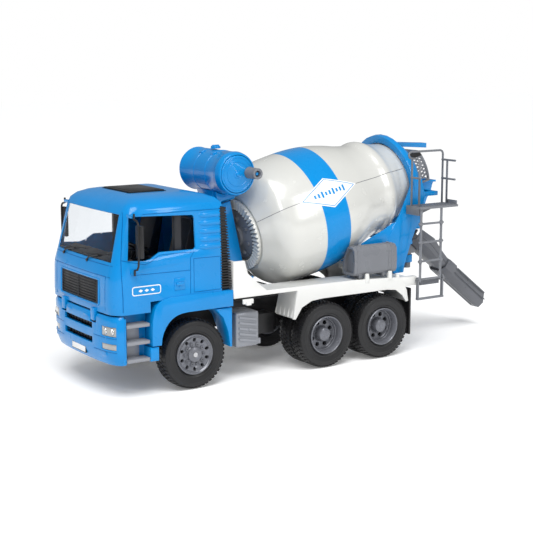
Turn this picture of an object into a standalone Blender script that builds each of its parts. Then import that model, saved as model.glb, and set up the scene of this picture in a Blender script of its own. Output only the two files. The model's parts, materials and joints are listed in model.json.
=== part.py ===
"""Toy cement mixer truck: tilting cab, turning drum with a crank and gear train, swivelling chute,
folding ladder step, folding mirrors and three rolling axles.

Sizes are in millimetres and are scaled to metres as each mesh is made. The layout is measured from the
front axle: +X forward, +Y to the truck's left, +Z up from the ground. At the end the whole truck is
moved along X, so that the middle of its length is at the origin.
"""

import math

import bmesh
import bpy
from mathutils import Matrix, Vector

MM = 0.001
GAP = 0.3  # between pieces that touch
RUN = 0.4  # radial clearance of a turning fit

# Wheels and axles
TYRE_R = 37.0
TYRE_SIDES = 30  # leaves a flat facet of the tread on the ground
TYRE_BORE_R = 21.8
RIM_R = TYRE_BORE_R - GAP
FRONT_TYRE_W = 22.0
TWIN_TYRE_W = 42.0
FRONT_TRACK = 75.0  # outer face of the front tyres
REAR_TRACK = 79.0  # outer face of the rear tyres
AXLE_R = 2.5
WHEELBASE = 167.3
BOGIE = 79.3  # between the two rear axles
AXLE_Z = TYRE_R
MIDDLE_X = -WHEELBASE
REAR_X = MIDDLE_X - BOGIE

# Chassis
RAIL_IN, RAIL_OUT = 17.0, 22.0
RAIL_LOW, RAIL_TOP = 50.0, 76.0
CHASSIS_FRONT = 82.0
CHASSIS_REAR = REAR_X - 38.0

# Cab: the outline at each height as (height, front x, rear x, half width, front corner radius)
CAB_W = 76.5
CAB_REAR = -43.4
CAB_BOTTOM = 88.5
CAB_WALL = 2.2
CAB_LEVELS = (
    (CAB_BOTTOM, 93.8, CAB_REAR, CAB_W, 15.0),
    (97.0, 94.3, CAB_REAR + 0.2, CAB_W, 15.0),
    (121.0, 93.6, CAB_REAR + 0.8, CAB_W, 15.0),
    (128.0, 92.8, CAB_REAR + 1.2, CAB_W, 15.0),
    (140.0, 89.2, CAB_REAR + 1.8, CAB_W - 0.3, 15.0),
    (189.0, 76.6, CAB_REAR + 6.0, CAB_W - 2.8, 14.0),
    (194.5, 74.0, CAB_REAR + 7.0, CAB_W - 4.6, 13.0),
    (199.0, 68.5, CAB_REAR + 11.0, CAB_W - 9.5, 12.0),
    (202.6, 60.0, CAB_REAR + 20.0, CAB_W - 19.0, 11.0),
    (204.6, 54.0, CAB_REAR + 31.0, CAB_W - 31.0, 9.0),
    (205.0, 52.0, CAB_REAR + 36.0, CAB_W - 37.0, 8.0),
)
FRONT_BOW = 2.0
REAR_CORNER_R = 5.0
TILT_X, TILT_Z = 94.8, 82.0
TILT_LUG_Y = 35.0
SCREEN = ((-62.0, 140.5), (62.0, 140.5), (58.5, 188.0), (-58.5, 188.0))
WINDOW = (
    (72.5, 187.0), (77.0, 143.0), (58.0, 141.6), (51.0, 143.2), (41.0, 149.0),
    (1.0, 148.5), (-1.0, 150.5), (-0.5, 181.5), (1.5, 184.0),
)
GRILLE_W, GRILLE_LOW, GRILLE_TOP = 43.0, 96.4, 121.0
HATCH = (9.0, 50.0, 30.0)  # rear x, front x, half width
INTAKE_X, INTAKE_Y, INTAKE_LOW, INTAKE_TOP = -32.0, 65.7, 102.0, 190.0

# Front wing over each front wheel, as a side outline outside and inside
WING_OUT = (
    (51.4, 53.0), (51.4, 69.0), (50.8, 80.0), (48.7, 89.0), (45.8, 94.8), (41.6, 98.4), (36.2, 100.6),
    (30.0, 101.6), (18.0, 102.0), (-45.0, 101.2), (-45.0, 84.2),
)
WING_IN = (
    (-45.1, 84.2), (8.0, 84.0), (17.4, 83.3), (22.8, 81.8), (28.0, 79.0), (32.2, 75.4), (35.8, 70.8),
    (38.4, 65.6), (40.2, 60.0), (41.0, 53.0),
)
WING_INNER_Y, WING_OUTER_Y = 50.0, 77.8

# Bumper: plan outline of its left half, from the middle to the rear corner
BUMPER = (
    (98.0, 0.0), (97.8, 20.0), (97.0, 40.0), (95.2, 57.0), (92.4, 67.0), (88.4, 73.0), (82.5, 76.3),
)
BUMPER_LOW, BUMPER_TOP = 36.0, 86.5
BUMPER_WALL = 2.5
SLOT_W = 33.0
SLOTS = ((54.5, 61.0), (69.5, 76.0))
LAMP_Y = (51.0, 71.5)
HEADLIGHT_Z = (66.0, 76.0)
FOG_LAMP_Z = (52.0, 58.5)
WELL_BACK_Y = 62.5
STEP_REAR, STEP_FRONT = 53.8, 79.7
STEP_TOPS = (41.9, 60.0, 77.8)

# Bed behind the cab
BED_FRONT = -46.0
BED_HALF = 77.5
DECK_T = 3.5
DECK_TOP = 96.0
DECK_KNEE_X, DECK_KNEE_Z = MIDDLE_X - 35.0, 94.5
REAR_DECK_TOP = 90.5
BED_REAR = REAR_X - 46.0
BED_OPENING = (MIDDLE_X + 61.0, REAR_X - 26.0, 43.0)
BULKHEAD_TOP = 131.0
SUPPORT_LOW = REAR_DECK_TOP + 1.0

# Drum: distances run along its axis from a reference ring, rearwards and up
TILT = math.radians(13.1)
DRUM_X = MIDDLE_X - 2.1
DRUM_Z = 162.6
REAR_END_X = DRUM_X - 169.1  # the front of the funnel behind the drum's mouth
SEAM_ANGLE = math.radians(66.0)
DRUM_WALL = 2.2
DRUM_FRONT = -67.5
DRUM_REAR = 146.0
DRUM_MOUTH_R = 44.3
DRUM_PROFILE = (
    (DRUM_FRONT, 43.5), (-60.0, 51.4), (-52.5, 60.4), (-46.5, 66.0), (-40.0, 69.2), (-28.0, 71.0),
    (-8.0, 72.2), (12.0, 72.6), (30.0, 71.6), (46.0, 69.2), (64.0, 64.6), (82.0, 58.8), (98.0, 55.4),
    (108.0, 56.6), (114.0, 55.2), (122.0, 50.8), (134.0, 46.8), (DRUM_REAR, DRUM_MOUTH_R),
)
RING_TEETH, PINION_TEETH = 48, 12
RING_IN, RING_OUT = 31.0, 41.0
RING_ROOT, RING_TIP = -70.4, -73.1
HUB_R = 28.5
STUB_R = 5.0
SHAFT_R = 2.5
PINION_TIP_R, PINION_ROOT_R = 10.2, 8.2
COLLAR_R = 55.0
COLLAR_SLEEVE_R = 48.5
COLLAR_FRONT, COLLAR_MID, COLLAR_REAR = 143.0, 149.5, 160.5
CAGE_FRONT, CAGE_REAR, CAGE_R = 161.0, 179.0, 41.0
CAGE_TOP = 29.0  # height of its flat top above the drum's axis
CAGE_WALL = 2.4
SUPPORT_Y = (51.0, 54.0)

# Water tank across the truck, which hides the crank and the bevel gears
TANK_X, TANK_Z = DRUM_X + 97.6, 219.0
TANK_R = 23.5
TANK_HALF = 43.0
CRANK_R = TANK_R - 3.3
CRANK_ARM = CRANK_R - 5.8
KNOB_R = 6.0
KNOB_END = 63.0
BEVEL_TEETH = 12
BEVEL = ((11.5, 6.6, 7.8), (9.0, 7.4, 8.6), (6.2, 4.6, 6.0))  # distance, root and tip radius

# Chute: distances run down its slope from its upper end
FUNNEL_LEVELS = (  # height, setback of the front, depth, half width
    (134.0, 3.5, 12.5, 13.5), (146.0, 1.0, 15.5, 16.5), (160.0, 0.0, 16.5, 19.5), (172.0, 0.0, 18.5, 22.5),
    (182.0, 0.0, 22.5, 25.0), (189.0, 0.0, 23.5, 26.0), (192.0, 0.0, 24.5, 26.5), (192.3, 0.0, 27.0, 28.5),
    (194.5, 0.0, 27.0, 28.5),
)
FUNNEL_WALL = 2.0
BRACKET_Y, BRACKET_Z = 22.9, (179.0, 184.0)
CHUTE_SLOPE = math.radians(38.0)
CHUTE_TOP_X, CHUTE_TOP_Z = REAR_END_X - 4.5, 117.5
SWIVEL_X = REAR_END_X - 7.0
CHUTE_W = 14.0
CHUTE_DEPTH = 16.5
CHUTE_WALL = 1.8
CHUTE_JOINT = 75.0
CHUTE_END = 152.0
CHUTE_PIVOT = (73.0, 15.0)

# Platform, railing and ladder at the left rear
PLATFORM = (REAR_END_X - 15.5, REAR_END_X + 41.5, 55.6, 82.0)
PLATFORM_TOP = 171.0
PLATFORM_T = 2.5
TUBE_R = 1.3
RAILING_TOP = 233.0
LADDER_Y = 80.0
LADDER_X = (REAR_END_X + 39.0, REAR_END_X + 8.5)
RUNGS = (151.4, 129.8, 107.6, 86.4)
STEP_TREAD_Z = 64.2

BLUE = ((0.006, 0.195, 0.62), 0.28, 0.0)
WHITE = ((0.79, 0.79, 0.77), 0.35, 0.0)
PEARL = ((0.69, 0.69, 0.67), 0.3, 0.0)
GREY = ((0.18, 0.19, 0.20), 0.42, 0.0)
DARK = ((0.055, 0.058, 0.065), 0.5, 0.0)
BLACK = ((0.012, 0.012, 0.014), 0.5, 0.0)
RUBBER = ((0.03, 0.03, 0.032), 0.8, 0.0)
SILVER = ((0.30, 0.31, 0.32), 0.38, 0.25)
STEEL = ((0.55, 0.55, 0.56), 0.3, 1.0)
LENS = ((0.55, 0.55, 0.52), 0.15, 0.3)
GLASS = ((0.75, 0.80, 0.85), 0.05, 0.0)

for leftover in list(bpy.data.objects):
    bpy.data.objects.remove(leftover)

truck = bpy.data.collections.new("toy_cement_mixer")
helpers = bpy.data.collections.new("construction")
bpy.context.scene.collection.children.link(truck)
bpy.context.scene.collection.children.link(helpers)


# ---------------------------------------------------------------- shapes

def helper(bm):
    """A construction object from a bmesh drawn in millimetres."""
    bmesh.ops.scale(bm, vec=(MM, MM, MM), verts=bm.verts)
    bmesh.ops.recalc_face_normals(bm, faces=bm.faces)
    mesh = bpy.data.meshes.new("construction")
    bm.to_mesh(mesh)
    bm.free()
    obj = bpy.data.objects.new("construction", mesh)
    obj.hide_render = True
    obj.display_type = "WIRE"
    helpers.objects.link(obj)
    return obj


def evaluated(obj):
    """Replaces an object's mesh by what its modifiers make of it."""
    mesh = bpy.data.meshes.new_from_object(obj.evaluated_get(bpy.context.evaluated_depsgraph_get()))
    obj.modifiers.clear()
    obj.data = mesh
    return obj


def box(x, y, z):
    """A box between two values along each axis."""
    bm = bmesh.new()
    bmesh.ops.create_cube(bm, size=1.0)
    for vert in bm.verts:
        limits = (sorted(x), sorted(y), sorted(z))
        vert.co = Vector([low if share < 0 else high for share, (low, high) in zip(vert.co, limits)])
    return helper(bm)


def rod(start, end, radius, end_radius=None, segments=24):
    """A cylinder or cone between two points."""
    start, end = Vector(start), Vector(end)
    bm = bmesh.new()
    bmesh.ops.create_cone(
        bm, cap_ends=True, segments=segments, radius1=radius,
        radius2=radius if end_radius is None else end_radius, depth=(end - start).length,
    )
    turn = (end - start).to_track_quat("Z", "Y").to_matrix().to_4x4()
    bmesh.ops.transform(bm, matrix=Matrix.Translation((start + end) / 2) @ turn, verts=bm.verts)
    return helper(bm)


def prism(outline, axis, low, high):
    """A flat outline, in the two axes that are left in X, Y, Z order, extruded along axis."""
    bm = bmesh.new()
    corners = []
    for first, second in outline:
        point = [first, second]
        point.insert(axis, low)
        corners.append(bm.verts.new(point))
    face = bm.faces.new(corners)
    made = bmesh.ops.extrude_face_region(bm, geom=[face])
    shift = Vector([high - low if i == axis else 0.0 for i in range(3)])
    bmesh.ops.translate(bm, vec=shift, verts=[v for v in made["geom"] if isinstance(v, bmesh.types.BMVert)])
    return helper(bm)


def loft(rings, closed=False):
    """A solid through rings with equal numbers of points: capped at both ends, or closed on itself."""
    bm = bmesh.new()
    loops = [[bm.verts.new(point) for point in ring] for ring in rings]
    count = len(loops[0])
    pairs = list(zip(loops, loops[1:]))
    if closed:
        pairs.append((loops[-1], loops[0]))
    else:
        bm.faces.new(loops[0])
        bm.faces.new(loops[-1])
    for near, far in pairs:
        for i in range(count):
            j = (i + 1) % count
            bm.faces.new((near[i], near[j], far[j], far[i]))
    return helper(bm)


def turned(profile, place, segments=40, closed=True):
    """A profile of (radius, distance) turned about the local Z axis of place, with a Screw modifier."""
    mesh = bpy.data.meshes.new("profile")
    ends = [(i, i + 1) for i in range(len(profile) - 1)]
    if closed:
        ends.append((len(profile) - 1, 0))
    mesh.from_pydata([(radius * MM, 0.0, along * MM) for radius, along in profile], ends, [])
    obj = bpy.data.objects.new("construction", mesh)
    helpers.objects.link(obj)
    obj.hide_render = True
    obj.display_type = "WIRE"
    screw = obj.modifiers.new("turn", "SCREW")
    screw.steps = segments
    screw.render_steps = segments
    screw.use_merge_vertices = True
    screw.merge_threshold = 0.00001
    evaluated(obj)
    bm = bmesh.new()
    bm.from_mesh(obj.data)
    move = place.copy()
    move.translation *= MM
    bmesh.ops.transform(bm, matrix=move, verts=bm.verts)
    bmesh.ops.recalc_face_normals(bm, faces=bm.faces)
    bm.to_mesh(obj.data)
    bm.free()
    return obj


def tube(points, radius, resolution=1):
    """A round bar along points, from a curve with a bevel, as a mesh."""
    curve = bpy.data.curves.new("route", "CURVE")
    curve.dimensions = "3D"
    curve.bevel_depth = radius * MM
    curve.bevel_resolution = resolution
    curve.use_fill_caps = True
    spline = curve.splines.new("POLY")
    spline.points.add(len(points) - 1)
    for target, point in zip(spline.points, points):
        target.co = (*[value * MM for value in point], 1.0)
    route = bpy.data.objects.new("route", curve)
    helpers.objects.link(route)
    bpy.context.view_layer.update()
    mesh = bpy.data.meshes.new_from_object(route.evaluated_get(bpy.context.evaluated_depsgraph_get()))
    bpy.data.objects.remove(route)
    bm = bmesh.new()
    bm.from_mesh(mesh)
    bmesh.ops.remove_doubles(bm, verts=bm.verts, dist=0.000001)
    bmesh.ops.scale(bm, vec=(1 / MM, 1 / MM, 1 / MM), verts=bm.verts)
    return helper(bm)


def combine(base, join=(), cut=(), keep=()):
    """The base with solids joined to it, others cut from it, and what lies outside a third set removed."""
    for operation, others in (("UNION", join), ("DIFFERENCE", cut), ("INTERSECT", keep)):
        for other in others:
            step = base.modifiers.new(operation.lower(), "BOOLEAN")
            step.operation = operation
            step.solver = "EXACT"
            step.object = other
    bpy.context.view_layer.update()
    evaluated(base)
    for other in (*join, *cut, *keep):
        bpy.data.objects.remove(other)
    return base


def mirrored(obj):
    """A copy on the other side of the truck."""
    bm = bmesh.new()
    bm.from_mesh(obj.data)
    bmesh.ops.scale(bm, vec=(1 / MM, -1 / MM, 1 / MM), verts=bm.verts)
    return helper(bm)


def rounded(obj, width, segments=2, angle=40.0):
    """Rounds the sharp edges with a Bevel modifier."""
    bevel = obj.modifiers.new("round", "BEVEL")
    bevel.width = width * MM
    bevel.segments = segments
    bevel.limit_method = "ANGLE"
    bevel.angle_limit = math.radians(angle)
    bpy.context.view_layer.update()
    return evaluated(obj)


# ---------------------------------------------------------------- bodies and pieces

def empty(name, place, parent=None):
    obj = bpy.data.objects.new(name, None)
    obj.empty_display_size = 10 * MM
    obj.location = Vector(place) * MM
    truck.objects.link(obj)
    if parent:
        obj.parent = parent
        obj.matrix_parent_inverse = parent.matrix_world.inverted()
    bpy.context.view_layer.update()
    return obj


def piece(name, obj, finish, body):
    """Names a solid as a piece of the truck, with its own material, and parents it to its body's empty."""
    helpers.objects.unlink(obj)
    truck.objects.link(obj)
    obj.name = name
    obj.data.name = name
    obj.hide_render = False
    obj.display_type = "TEXTURED"
    obj.data.shade_smooth()
    obj.data.set_sharp_from_angle(angle=math.radians(35))
    colour, roughness, metallic = finish
    material = bpy.data.materials.new(name)
    material.use_nodes = True
    shader = material.node_tree.nodes["Principled BSDF"]
    shader.inputs["Base Color"].default_value = (*colour, 1.0)
    shader.inputs["Roughness"].default_value = roughness
    shader.inputs["Metallic"].default_value = metallic
    obj.data.materials.clear()
    obj.data.materials.append(material)
    obj.parent = body
    obj.matrix_parent_inverse = body.matrix_world.inverted()


def along_y(x, z, y=0.0):
    """Placement with the local Z axis along +Y."""
    return Matrix.Translation((x, y, z)) @ Matrix.Rotation(-math.pi / 2, 4, "X")


DRUM_U = Vector((-math.cos(TILT), 0.0, math.sin(TILT)))
DRUM_N = Vector((math.sin(TILT), 0.0, math.cos(TILT)))
DRUM_REF = Vector((DRUM_X, 0.0, DRUM_Z))
DRUM = Matrix.Translation(DRUM_REF) @ Matrix((DRUM_N, (0.0, 1.0, 0.0), DRUM_U)).transposed().to_4x4()
TANK_CENTRE = Vector((TANK_X, 0.0, TANK_Z))
SHAFT_S = (TANK_CENTRE - DRUM_REF).dot(DRUM_U)  # the drive shaft's line crosses the tank's axis
TANK_RHO = (TANK_CENTRE - DRUM_REF).dot(DRUM_N)


def in_drum(across, side, along):
    """A point given from the drum's axis: upwards across it, to the left, and along it."""
    return DRUM @ Vector((across, side, along))


def drum_box(across, side, along):
    """A box in the drum's own directions."""
    obj = box(across, side, along)
    place = DRUM.copy()
    place.translation *= MM
    obj.data.transform(place)
    return obj


def gear(teeth, levels, fill, place):
    """A gear lofted along its axis. levels holds (distance, root radius, tip radius)."""
    rings = []
    for along, root, tip in levels:
        ring = []
        for i in range(teeth):
            for share, radius in ((-fill, root), (-fill * 0.7, tip), (fill * 0.7, tip), (fill, root)):
                angle = 2 * math.pi * (i + share) / teeth
                ring.append(place @ Vector((radius * math.cos(angle), radius * math.sin(angle), along)))
        rings.append(ring)
    return loft(rings)


# ---------------------------------------------------------------- wheels

def tyre(width, outer_face, twin):
    """A tyre's closed profile turned about its axle: twin tyres are one moulding with a groove."""
    half = width / 2
    tread_r = TYRE_R / math.cos(math.pi / TYRE_SIDES)
    wall = [(TYRE_BORE_R, -half + 1.6), (30.0, -half), (tread_r - 1.2, -half + 2.0)]
    tread = [(tread_r, -half + 4.4)]
    if twin:
        tread += [(tread_r, -2.6), (tread_r - 11.0, 0.0), (tread_r, 2.6)]
    tread += [(tread_r, half - 4.4)]
    wall_back = [(radius, -across) for radius, across in reversed(wall)]
    return turned(wall + tread + wall_back, along_y(0.0, AXLE_Z, outer_face - half), segments=TYRE_SIDES)


def front_rim():
    half = FRONT_TYRE_W / 2
    bore = AXLE_R + GAP
    profile = [
        (bore, -half + 5), (7.0, -half + 5), (7.0, 2.0), (19.5, 4.0), (19.5, -half + 1.5),
        (RIM_R, -half + 1.5),
        (RIM_R, half), (19.0, half + 0.2), (18.0, half - 1.6), (8.5, half - 2.6), (7.2, half + 0.6),
        (bore, half + 1.0),
    ]
    return turned(profile, along_y(0.0, AXLE_Z, FRONT_TRACK - half), segments=22)


def rear_rim():
    half = TWIN_TYRE_W / 2
    bore = AXLE_R + GAP
    web = half - 12.5
    profile = [
        (bore, -half + 6), (6.0, -half + 6), (6.0, web - 3.0), (19.2, web - 3.0), (19.2, -half + 2),
        (RIM_R, -half + 2), (RIM_R, half), (19.4, half - 0.4), (17.6, half - 4.0),
        (17.6, web), (8.5, web), (6.8, half - 3.6), (bore, half - 3.4),
    ]
    return turned(profile, along_y(0.0, AXLE_Z, REAR_TRACK - half), segments=22)


def wheel_set(prefix, x, body, make_rim, track, twin):
    """An axle rod with a rim and a tyre at each end, which turn together."""
    width = TWIN_TYRE_W if twin else FRONT_TYRE_W
    reach = track - (3.6 if twin else -0.6)
    axle = rod((x, -reach, AXLE_Z), (x, reach, AXLE_Z), AXLE_R, segments=20)
    piece(prefix + "_axle", axle, STEEL, body)
    for side, sign in (("left", 1), ("right", -1)):
        for part, made, finish in (("rim", make_rim(), SILVER), ("tyre", tyre(width, track, twin), RUBBER)):
            if sign < 0:
                left = made
                made = mirrored(left)
                bpy.data.objects.remove(left)
            made.data.transform(Matrix.Translation((x * MM, 0.0, 0.0)))
            piece(f"{prefix}_{part}_{side}", made, finish, body)


# ---------------------------------------------------------------- chassis and front

def chassis_frame():
    rails = [
        box((CHASSIS_REAR, CHASSIS_FRONT), (sign * RAIL_IN, sign * RAIL_OUT), (RAIL_LOW, RAIL_TOP))
        for sign in (-1, 1)
    ]
    crossings = [
        box((x, x + 4), (-RAIL_IN - 1, RAIL_IN + 1), (RAIL_LOW + 4, RAIL_TOP - 4))
        for x in (12.0, -40.0, -100.0, MIDDLE_X - 38, CHASSIS_REAR)
    ]
    front = box((CHASSIS_FRONT - 4, CHASSIS_FRONT), (-40, 40), (RAIL_LOW + 6, RAIL_TOP - 8))
    carriers = [
        box((x, x + 10), (-half, half), (RAIL_LOW + 2, RAIL_LOW + 10))
        for x, half in ((-74.0, 40), (CHASSIS_REAR + 2, 35))
    ]
    air_tanks = [
        box((MIDDLE_X + 47, MIDDLE_X + 69), (sign * (RAIL_OUT - 1), sign * 42), (40, 62)) for sign in (-1, 1)
    ]
    pads = [
        box((x, x + 8), (sign * RAIL_IN, sign * RAIL_OUT), (RAIL_TOP - 1, top))
        for sign in (-1, 1)
        for x, top in ((-62.0, DECK_TOP - DECK_T - 1), (CHASSIS_REAR + 2, REAR_DECK_TOP - DECK_T - GAP))
    ]
    lugs, bores = [], []
    for x in (0.0, MIDDLE_X, REAR_X):
        for sign in (-1, 1):
            lugs.append(box((x - 7, x + 7), (sign * RAIL_IN, sign * RAIL_OUT), (AXLE_Z - 7, RAIL_LOW + 1)))
            lug_y = (sign * (RAIL_IN - 3), sign * (RAIL_IN + 1))
            lugs.append(box((x - 5, x + 5), lug_y, (AXLE_Z - 6, RAIL_LOW + 4)))
        bores.append(rod((x, -RAIL_OUT - 2, AXLE_Z), (x, RAIL_OUT + 2, AXLE_Z), AXLE_R + RUN, segments=20))
    return combine(
        rails[0], join=[*crossings, rails[1], front, *carriers, *air_tanks, *pads, *lugs], cut=bores
    )


def engine_block():
    block = rounded(box((26, 66), (-RAIL_IN + 1, RAIL_IN - 1), (RAIL_LOW + 6, 98)), 2.0)
    heads = box((29, 63), (-11, 11), (97, 107))
    covers = [rod((x, -9.5, 107), (x, 9.5, 107), 3.4, segments=12) for x in (35.0, 46.0, 57.0)]
    fan = rod((65, 0, 86), (69, 0, 86), 11.0, segments=24)
    return combine(block, join=[heads, *covers, fan])


def bumper_ring(inset, z):
    """The bumper's plan outline at one height, moved inwards by an inset."""
    half = []
    for i, (x, y) in enumerate(BUMPER):
        before = Vector(BUMPER[max(i - 1, 0)])
        after = Vector(BUMPER[min(i + 1, len(BUMPER) - 1)])
        along = (after - before).normalized()
        if i == 0:
            along = Vector((0.0, 1.0))
        half.append((x - along.y * inset, y + along.x * inset if i else 0.0))
    half[-1] = (BUMPER[-1][0], half[-1][1])
    return [(x, -y, z) for x, y in reversed(half)] + [(x, y, z) for x, y in half[1:]]


def bumper_band(levels, thickness):
    """A C-shaped wall that follows the bumper's outline. levels holds (height, inset) pairs."""
    rings = []
    for z, inset in levels:
        rings.append(bumper_ring(inset, z) + list(reversed(bumper_ring(inset + thickness, z))))
    return loft(rings)


def step_well(sign):
    back = box((STEP_REAR - 2, 83), (sign * (WELL_BACK_Y - 2.5), sign * WELL_BACK_Y), (BUMPER_LOW, 86))
    front = box((80.0, 83.4), (sign * (WELL_BACK_Y - 2.5), sign * 75.2), (BUMPER_LOW + 1, 84.5))
    block = box((44, STEP_REAR - 0.5), (sign * (WELL_BACK_Y - 2.5), sign * 77.0), (37.5, 51.5))
    return [back, front, block]


def front_bumper():
    wall = bumper_band(
        ((BUMPER_LOW, 4.0), (41.0, 2.0), (48.0, 0.3), (50.5, 0.0), (83.0, 0.0), (BUMPER_TOP, 1.6)), BUMPER_WALL
    )
    shelves = [box((CHASSIS_FRONT + GAP, 95.0), (-60, 60), (z, z + 3)) for z in (46.0, 63.0)]
    mount = box((CHASSIS_FRONT + GAP, 90), (-30, 30), (47, 65))
    slots = [box((93.0, 99.0), (-SLOT_W, SLOT_W), z) for z in SLOTS]
    lamps = [
        box((84, 99), (sign * LAMP_Y[0], sign * LAMP_Y[1]), z) for sign in (-1, 1)
        for z in (HEADLIGHT_Z, FOG_LAMP_Z)
    ]
    notches = [
        box((TILT_X - 6.5, 100), (sign * TILT_LUG_Y - 6.5, sign * TILT_LUG_Y + 6.5), (TILT_Z - 5.5, 90))
        for sign in (-1, 1)
    ]
    return combine(
        wall, join=[*shelves, mount, *step_well(1), *step_well(-1)], cut=[*slots, *lamps, *notches]
    )


def lamp_unit(sign):
    """Headlight and fog lamp on one carrier that lies behind the bumper's wall."""
    low, high = FOG_LAMP_Z[0] + GAP, HEADLIGHT_Z[1] - GAP
    carrier = combine(
        bumper_band(((low, BUMPER_WALL + GAP), (high, BUMPER_WALL + GAP)), 1.5),
        keep=[box((84, 99), (sign * (LAMP_Y[0] - 1), sign * (LAMP_Y[1] + 0.5)), (low - 1, high + 1))],
        cut=[box((80, 99), (sign * 40, sign * (60 + GAP)), (63.0 - GAP, 66.0 + GAP))],
    )
    lenses = [
        combine(
            bumper_band(((z[0] + GAP, 0.5), (z[1] - GAP, 0.5)), BUMPER_WALL + 0.6),
            keep=[box((84, 99), (sign * (LAMP_Y[0] + GAP), sign * (LAMP_Y[1] - GAP)), (z[0] - 1, z[1] + 1))],
        )
        for z in (HEADLIGHT_Z, FOG_LAMP_Z)
    ]
    return combine(carrier, join=lenses)


def cab_steps(sign):
    treads = [
        box((STEP_REAR, STEP_FRONT), (sign * (WELL_BACK_Y + GAP), sign * 76.5), (top - 3.4, top))
        for top in STEP_TOPS
    ]
    spine = box((60, 74), (sign * (WELL_BACK_Y + GAP), sign * (WELL_BACK_Y + 1.8)), (39, STEP_TOPS[2] - 1))
    return combine(spine, join=treads)


def front_mudguard(sign):
    outline = ((-25.0, 82.4), (-34.0, 72.5), (-40.0, 57.0), (-42.4, 40.0), (-44.8, 40.0), (-44.8, 82.4))
    return prism(outline, 1, sign * 52.0, sign * 76.0)


def side_box(sign):
    body = rounded(box((-84, -54.5), (sign * 40.3, sign * 68), (35, 73)), 2.5)
    ribs = [
        prism(
            ((-58.0, z + 4.2), (-58.0, z + 1.8), (-80.5, z - 2.6), (-80.5, z - 0.2)),
            1, sign * 67.0, sign * 69.6,
        )
        for z in (41.5, 47.5, 53.5, 59.5, 65.5)
    ]
    foot = box((-87, -80), (sign * 46, sign * 66), (36, 42))
    return combine(body, join=[*ribs, foot])


# ---------------------------------------------------------------- cab

def cab_ring(z, front, rear, half, corner, inset=0.0):
    """The cab's outline at one height: bowed front, round corners, straight sides and rear."""
    front, rear, half = front - inset, rear + inset, half - inset
    corner = max(corner - inset, 2.0)
    back = max(REAR_CORNER_R - inset, 1.0)
    flat = half - corner
    left = []
    for share in (0.0, 0.5, 1.0):
        y = share * flat
        left.append((front + FRONT_BOW * (1 - share * share), y))
    for step in range(1, 5):
        angle = step * math.pi / 8
        left.append((front - corner + corner * math.cos(angle), flat + corner * math.sin(angle)))
    for step in range(3):
        angle = step * math.pi / 4
        left.append((rear + back - back * math.sin(angle), half - back + back * math.cos(angle)))
    left.append((rear, half * 0.5))
    left.append((rear, 0.0))
    right = [(x, -y) for x, y in reversed(left[1:-1])]
    return [(x, y, z) for x, y in left + right]


def cab_shape(levels, inset=0.0):
    return loft([cab_ring(*level, inset=inset) for level in levels])


def cab_level(z):
    """The cab's outline sizes between two of its levels."""
    for low, high in zip(CAB_LEVELS, CAB_LEVELS[1:]):
        if low[0] <= z <= high[0]:
            share = (z - low[0]) / (high[0] - low[0])
            return tuple(a + (b - a) * share for a, b in zip(low, high))
    return CAB_LEVELS[-1]


def front_wing(sign):
    """The arch over a front wheel: a side flange and a tunnel over the tyre."""
    tunnel = prism(WING_OUT + WING_IN, 1, sign * WING_INNER_Y, sign * WING_OUTER_Y)
    hollow = prism(
        (
            (49.3, 50.0), (49.2, 68.4), (48.5, 79.2), (46.5, 87.6), (44.0, 92.6), (40.3, 96.0), (35.5, 98.1),
            (29.7, 99.1), (18.0, 99.4), (-42.0, 98.8), (-42.0, 86.8), (8.0, 86.6), (18.0, 85.9),
            (24.0, 84.2), (29.8, 81.1), (34.4, 77.1), (38.3, 72.0), (41.0, 66.5), (42.8, 60.4), (43.4, 50.0),
        ),
        1, sign * (WING_INNER_Y - 1), sign * (WING_OUTER_Y - 2.4),
    )
    return combine(tunnel, cut=[hollow])


def cab_shell():
    outer = cab_shape(CAB_LEVELS)
    roof_inside = [(z - CAB_WALL if z > 195 else z, *rest) for z, *rest in CAB_LEVELS]
    roof_inside[0] = (CAB_BOTTOM - 3.0, *CAB_LEVELS[0][1:])
    inner = cab_shape(roof_inside, inset=CAB_WALL)
    posts = [
        box(
            (CAB_REAR + 0.6, INTAKE_X + CAB_WALL),
            (sign * (INTAKE_Y - CAB_WALL), sign * (CAB_W - 4)), (96, 193),
        )
        for sign in (-1, 1)
    ]
    shell = combine(outer, cut=[inner])
    corners = [
        box(
            (CAB_REAR - 4, INTAKE_X),
            (sign * INTAKE_Y, sign * (CAB_W + 4)), (INTAKE_LOW - GAP, INTAKE_TOP + GAP),
        )
        for sign in (-1, 1)
    ]
    posts = [combine(post, keep=[cab_shape(CAB_LEVELS, inset=0.4)]) for post in posts]
    arches = [
        box((-45.1, 52.5), (sign * 48, sign * (CAB_W + 2)), (84, 99.5)) for sign in (-1, 1)
    ]
    lugs = [
        box(
            (TILT_X - 4.0, TILT_X + 3.0), (sign * TILT_LUG_Y - 4, sign * TILT_LUG_Y + 4), (TILT_Z - 3.2, 91.5)
        )
        for sign in (-1, 1)
    ]
    mirror_lugs = []
    for sign in (-1, 1):
        mirror_lugs.append(box((70.2, 73.8), (sign * 67.6, sign * 79.2), (186.2, 189.2)))
        mirror_lugs.append(box((69.5, 74.5), (sign * 74, sign * 79.2), (129.0, 133.6)))
    windows = [
        prism(SCREEN, 0, 60.0, 100.0),
        prism(WINDOW, 1, -90.0, 90.0),
        box((84, 100), (-GRILLE_W, GRILLE_W), (GRILLE_LOW, GRILLE_TOP)),
    ]
    return combine(
        combine(shell, join=posts, cut=[*corners, *arches, *windows]),
        join=[front_wing(1), front_wing(-1), *lugs, *mirror_lugs],
    )


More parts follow.
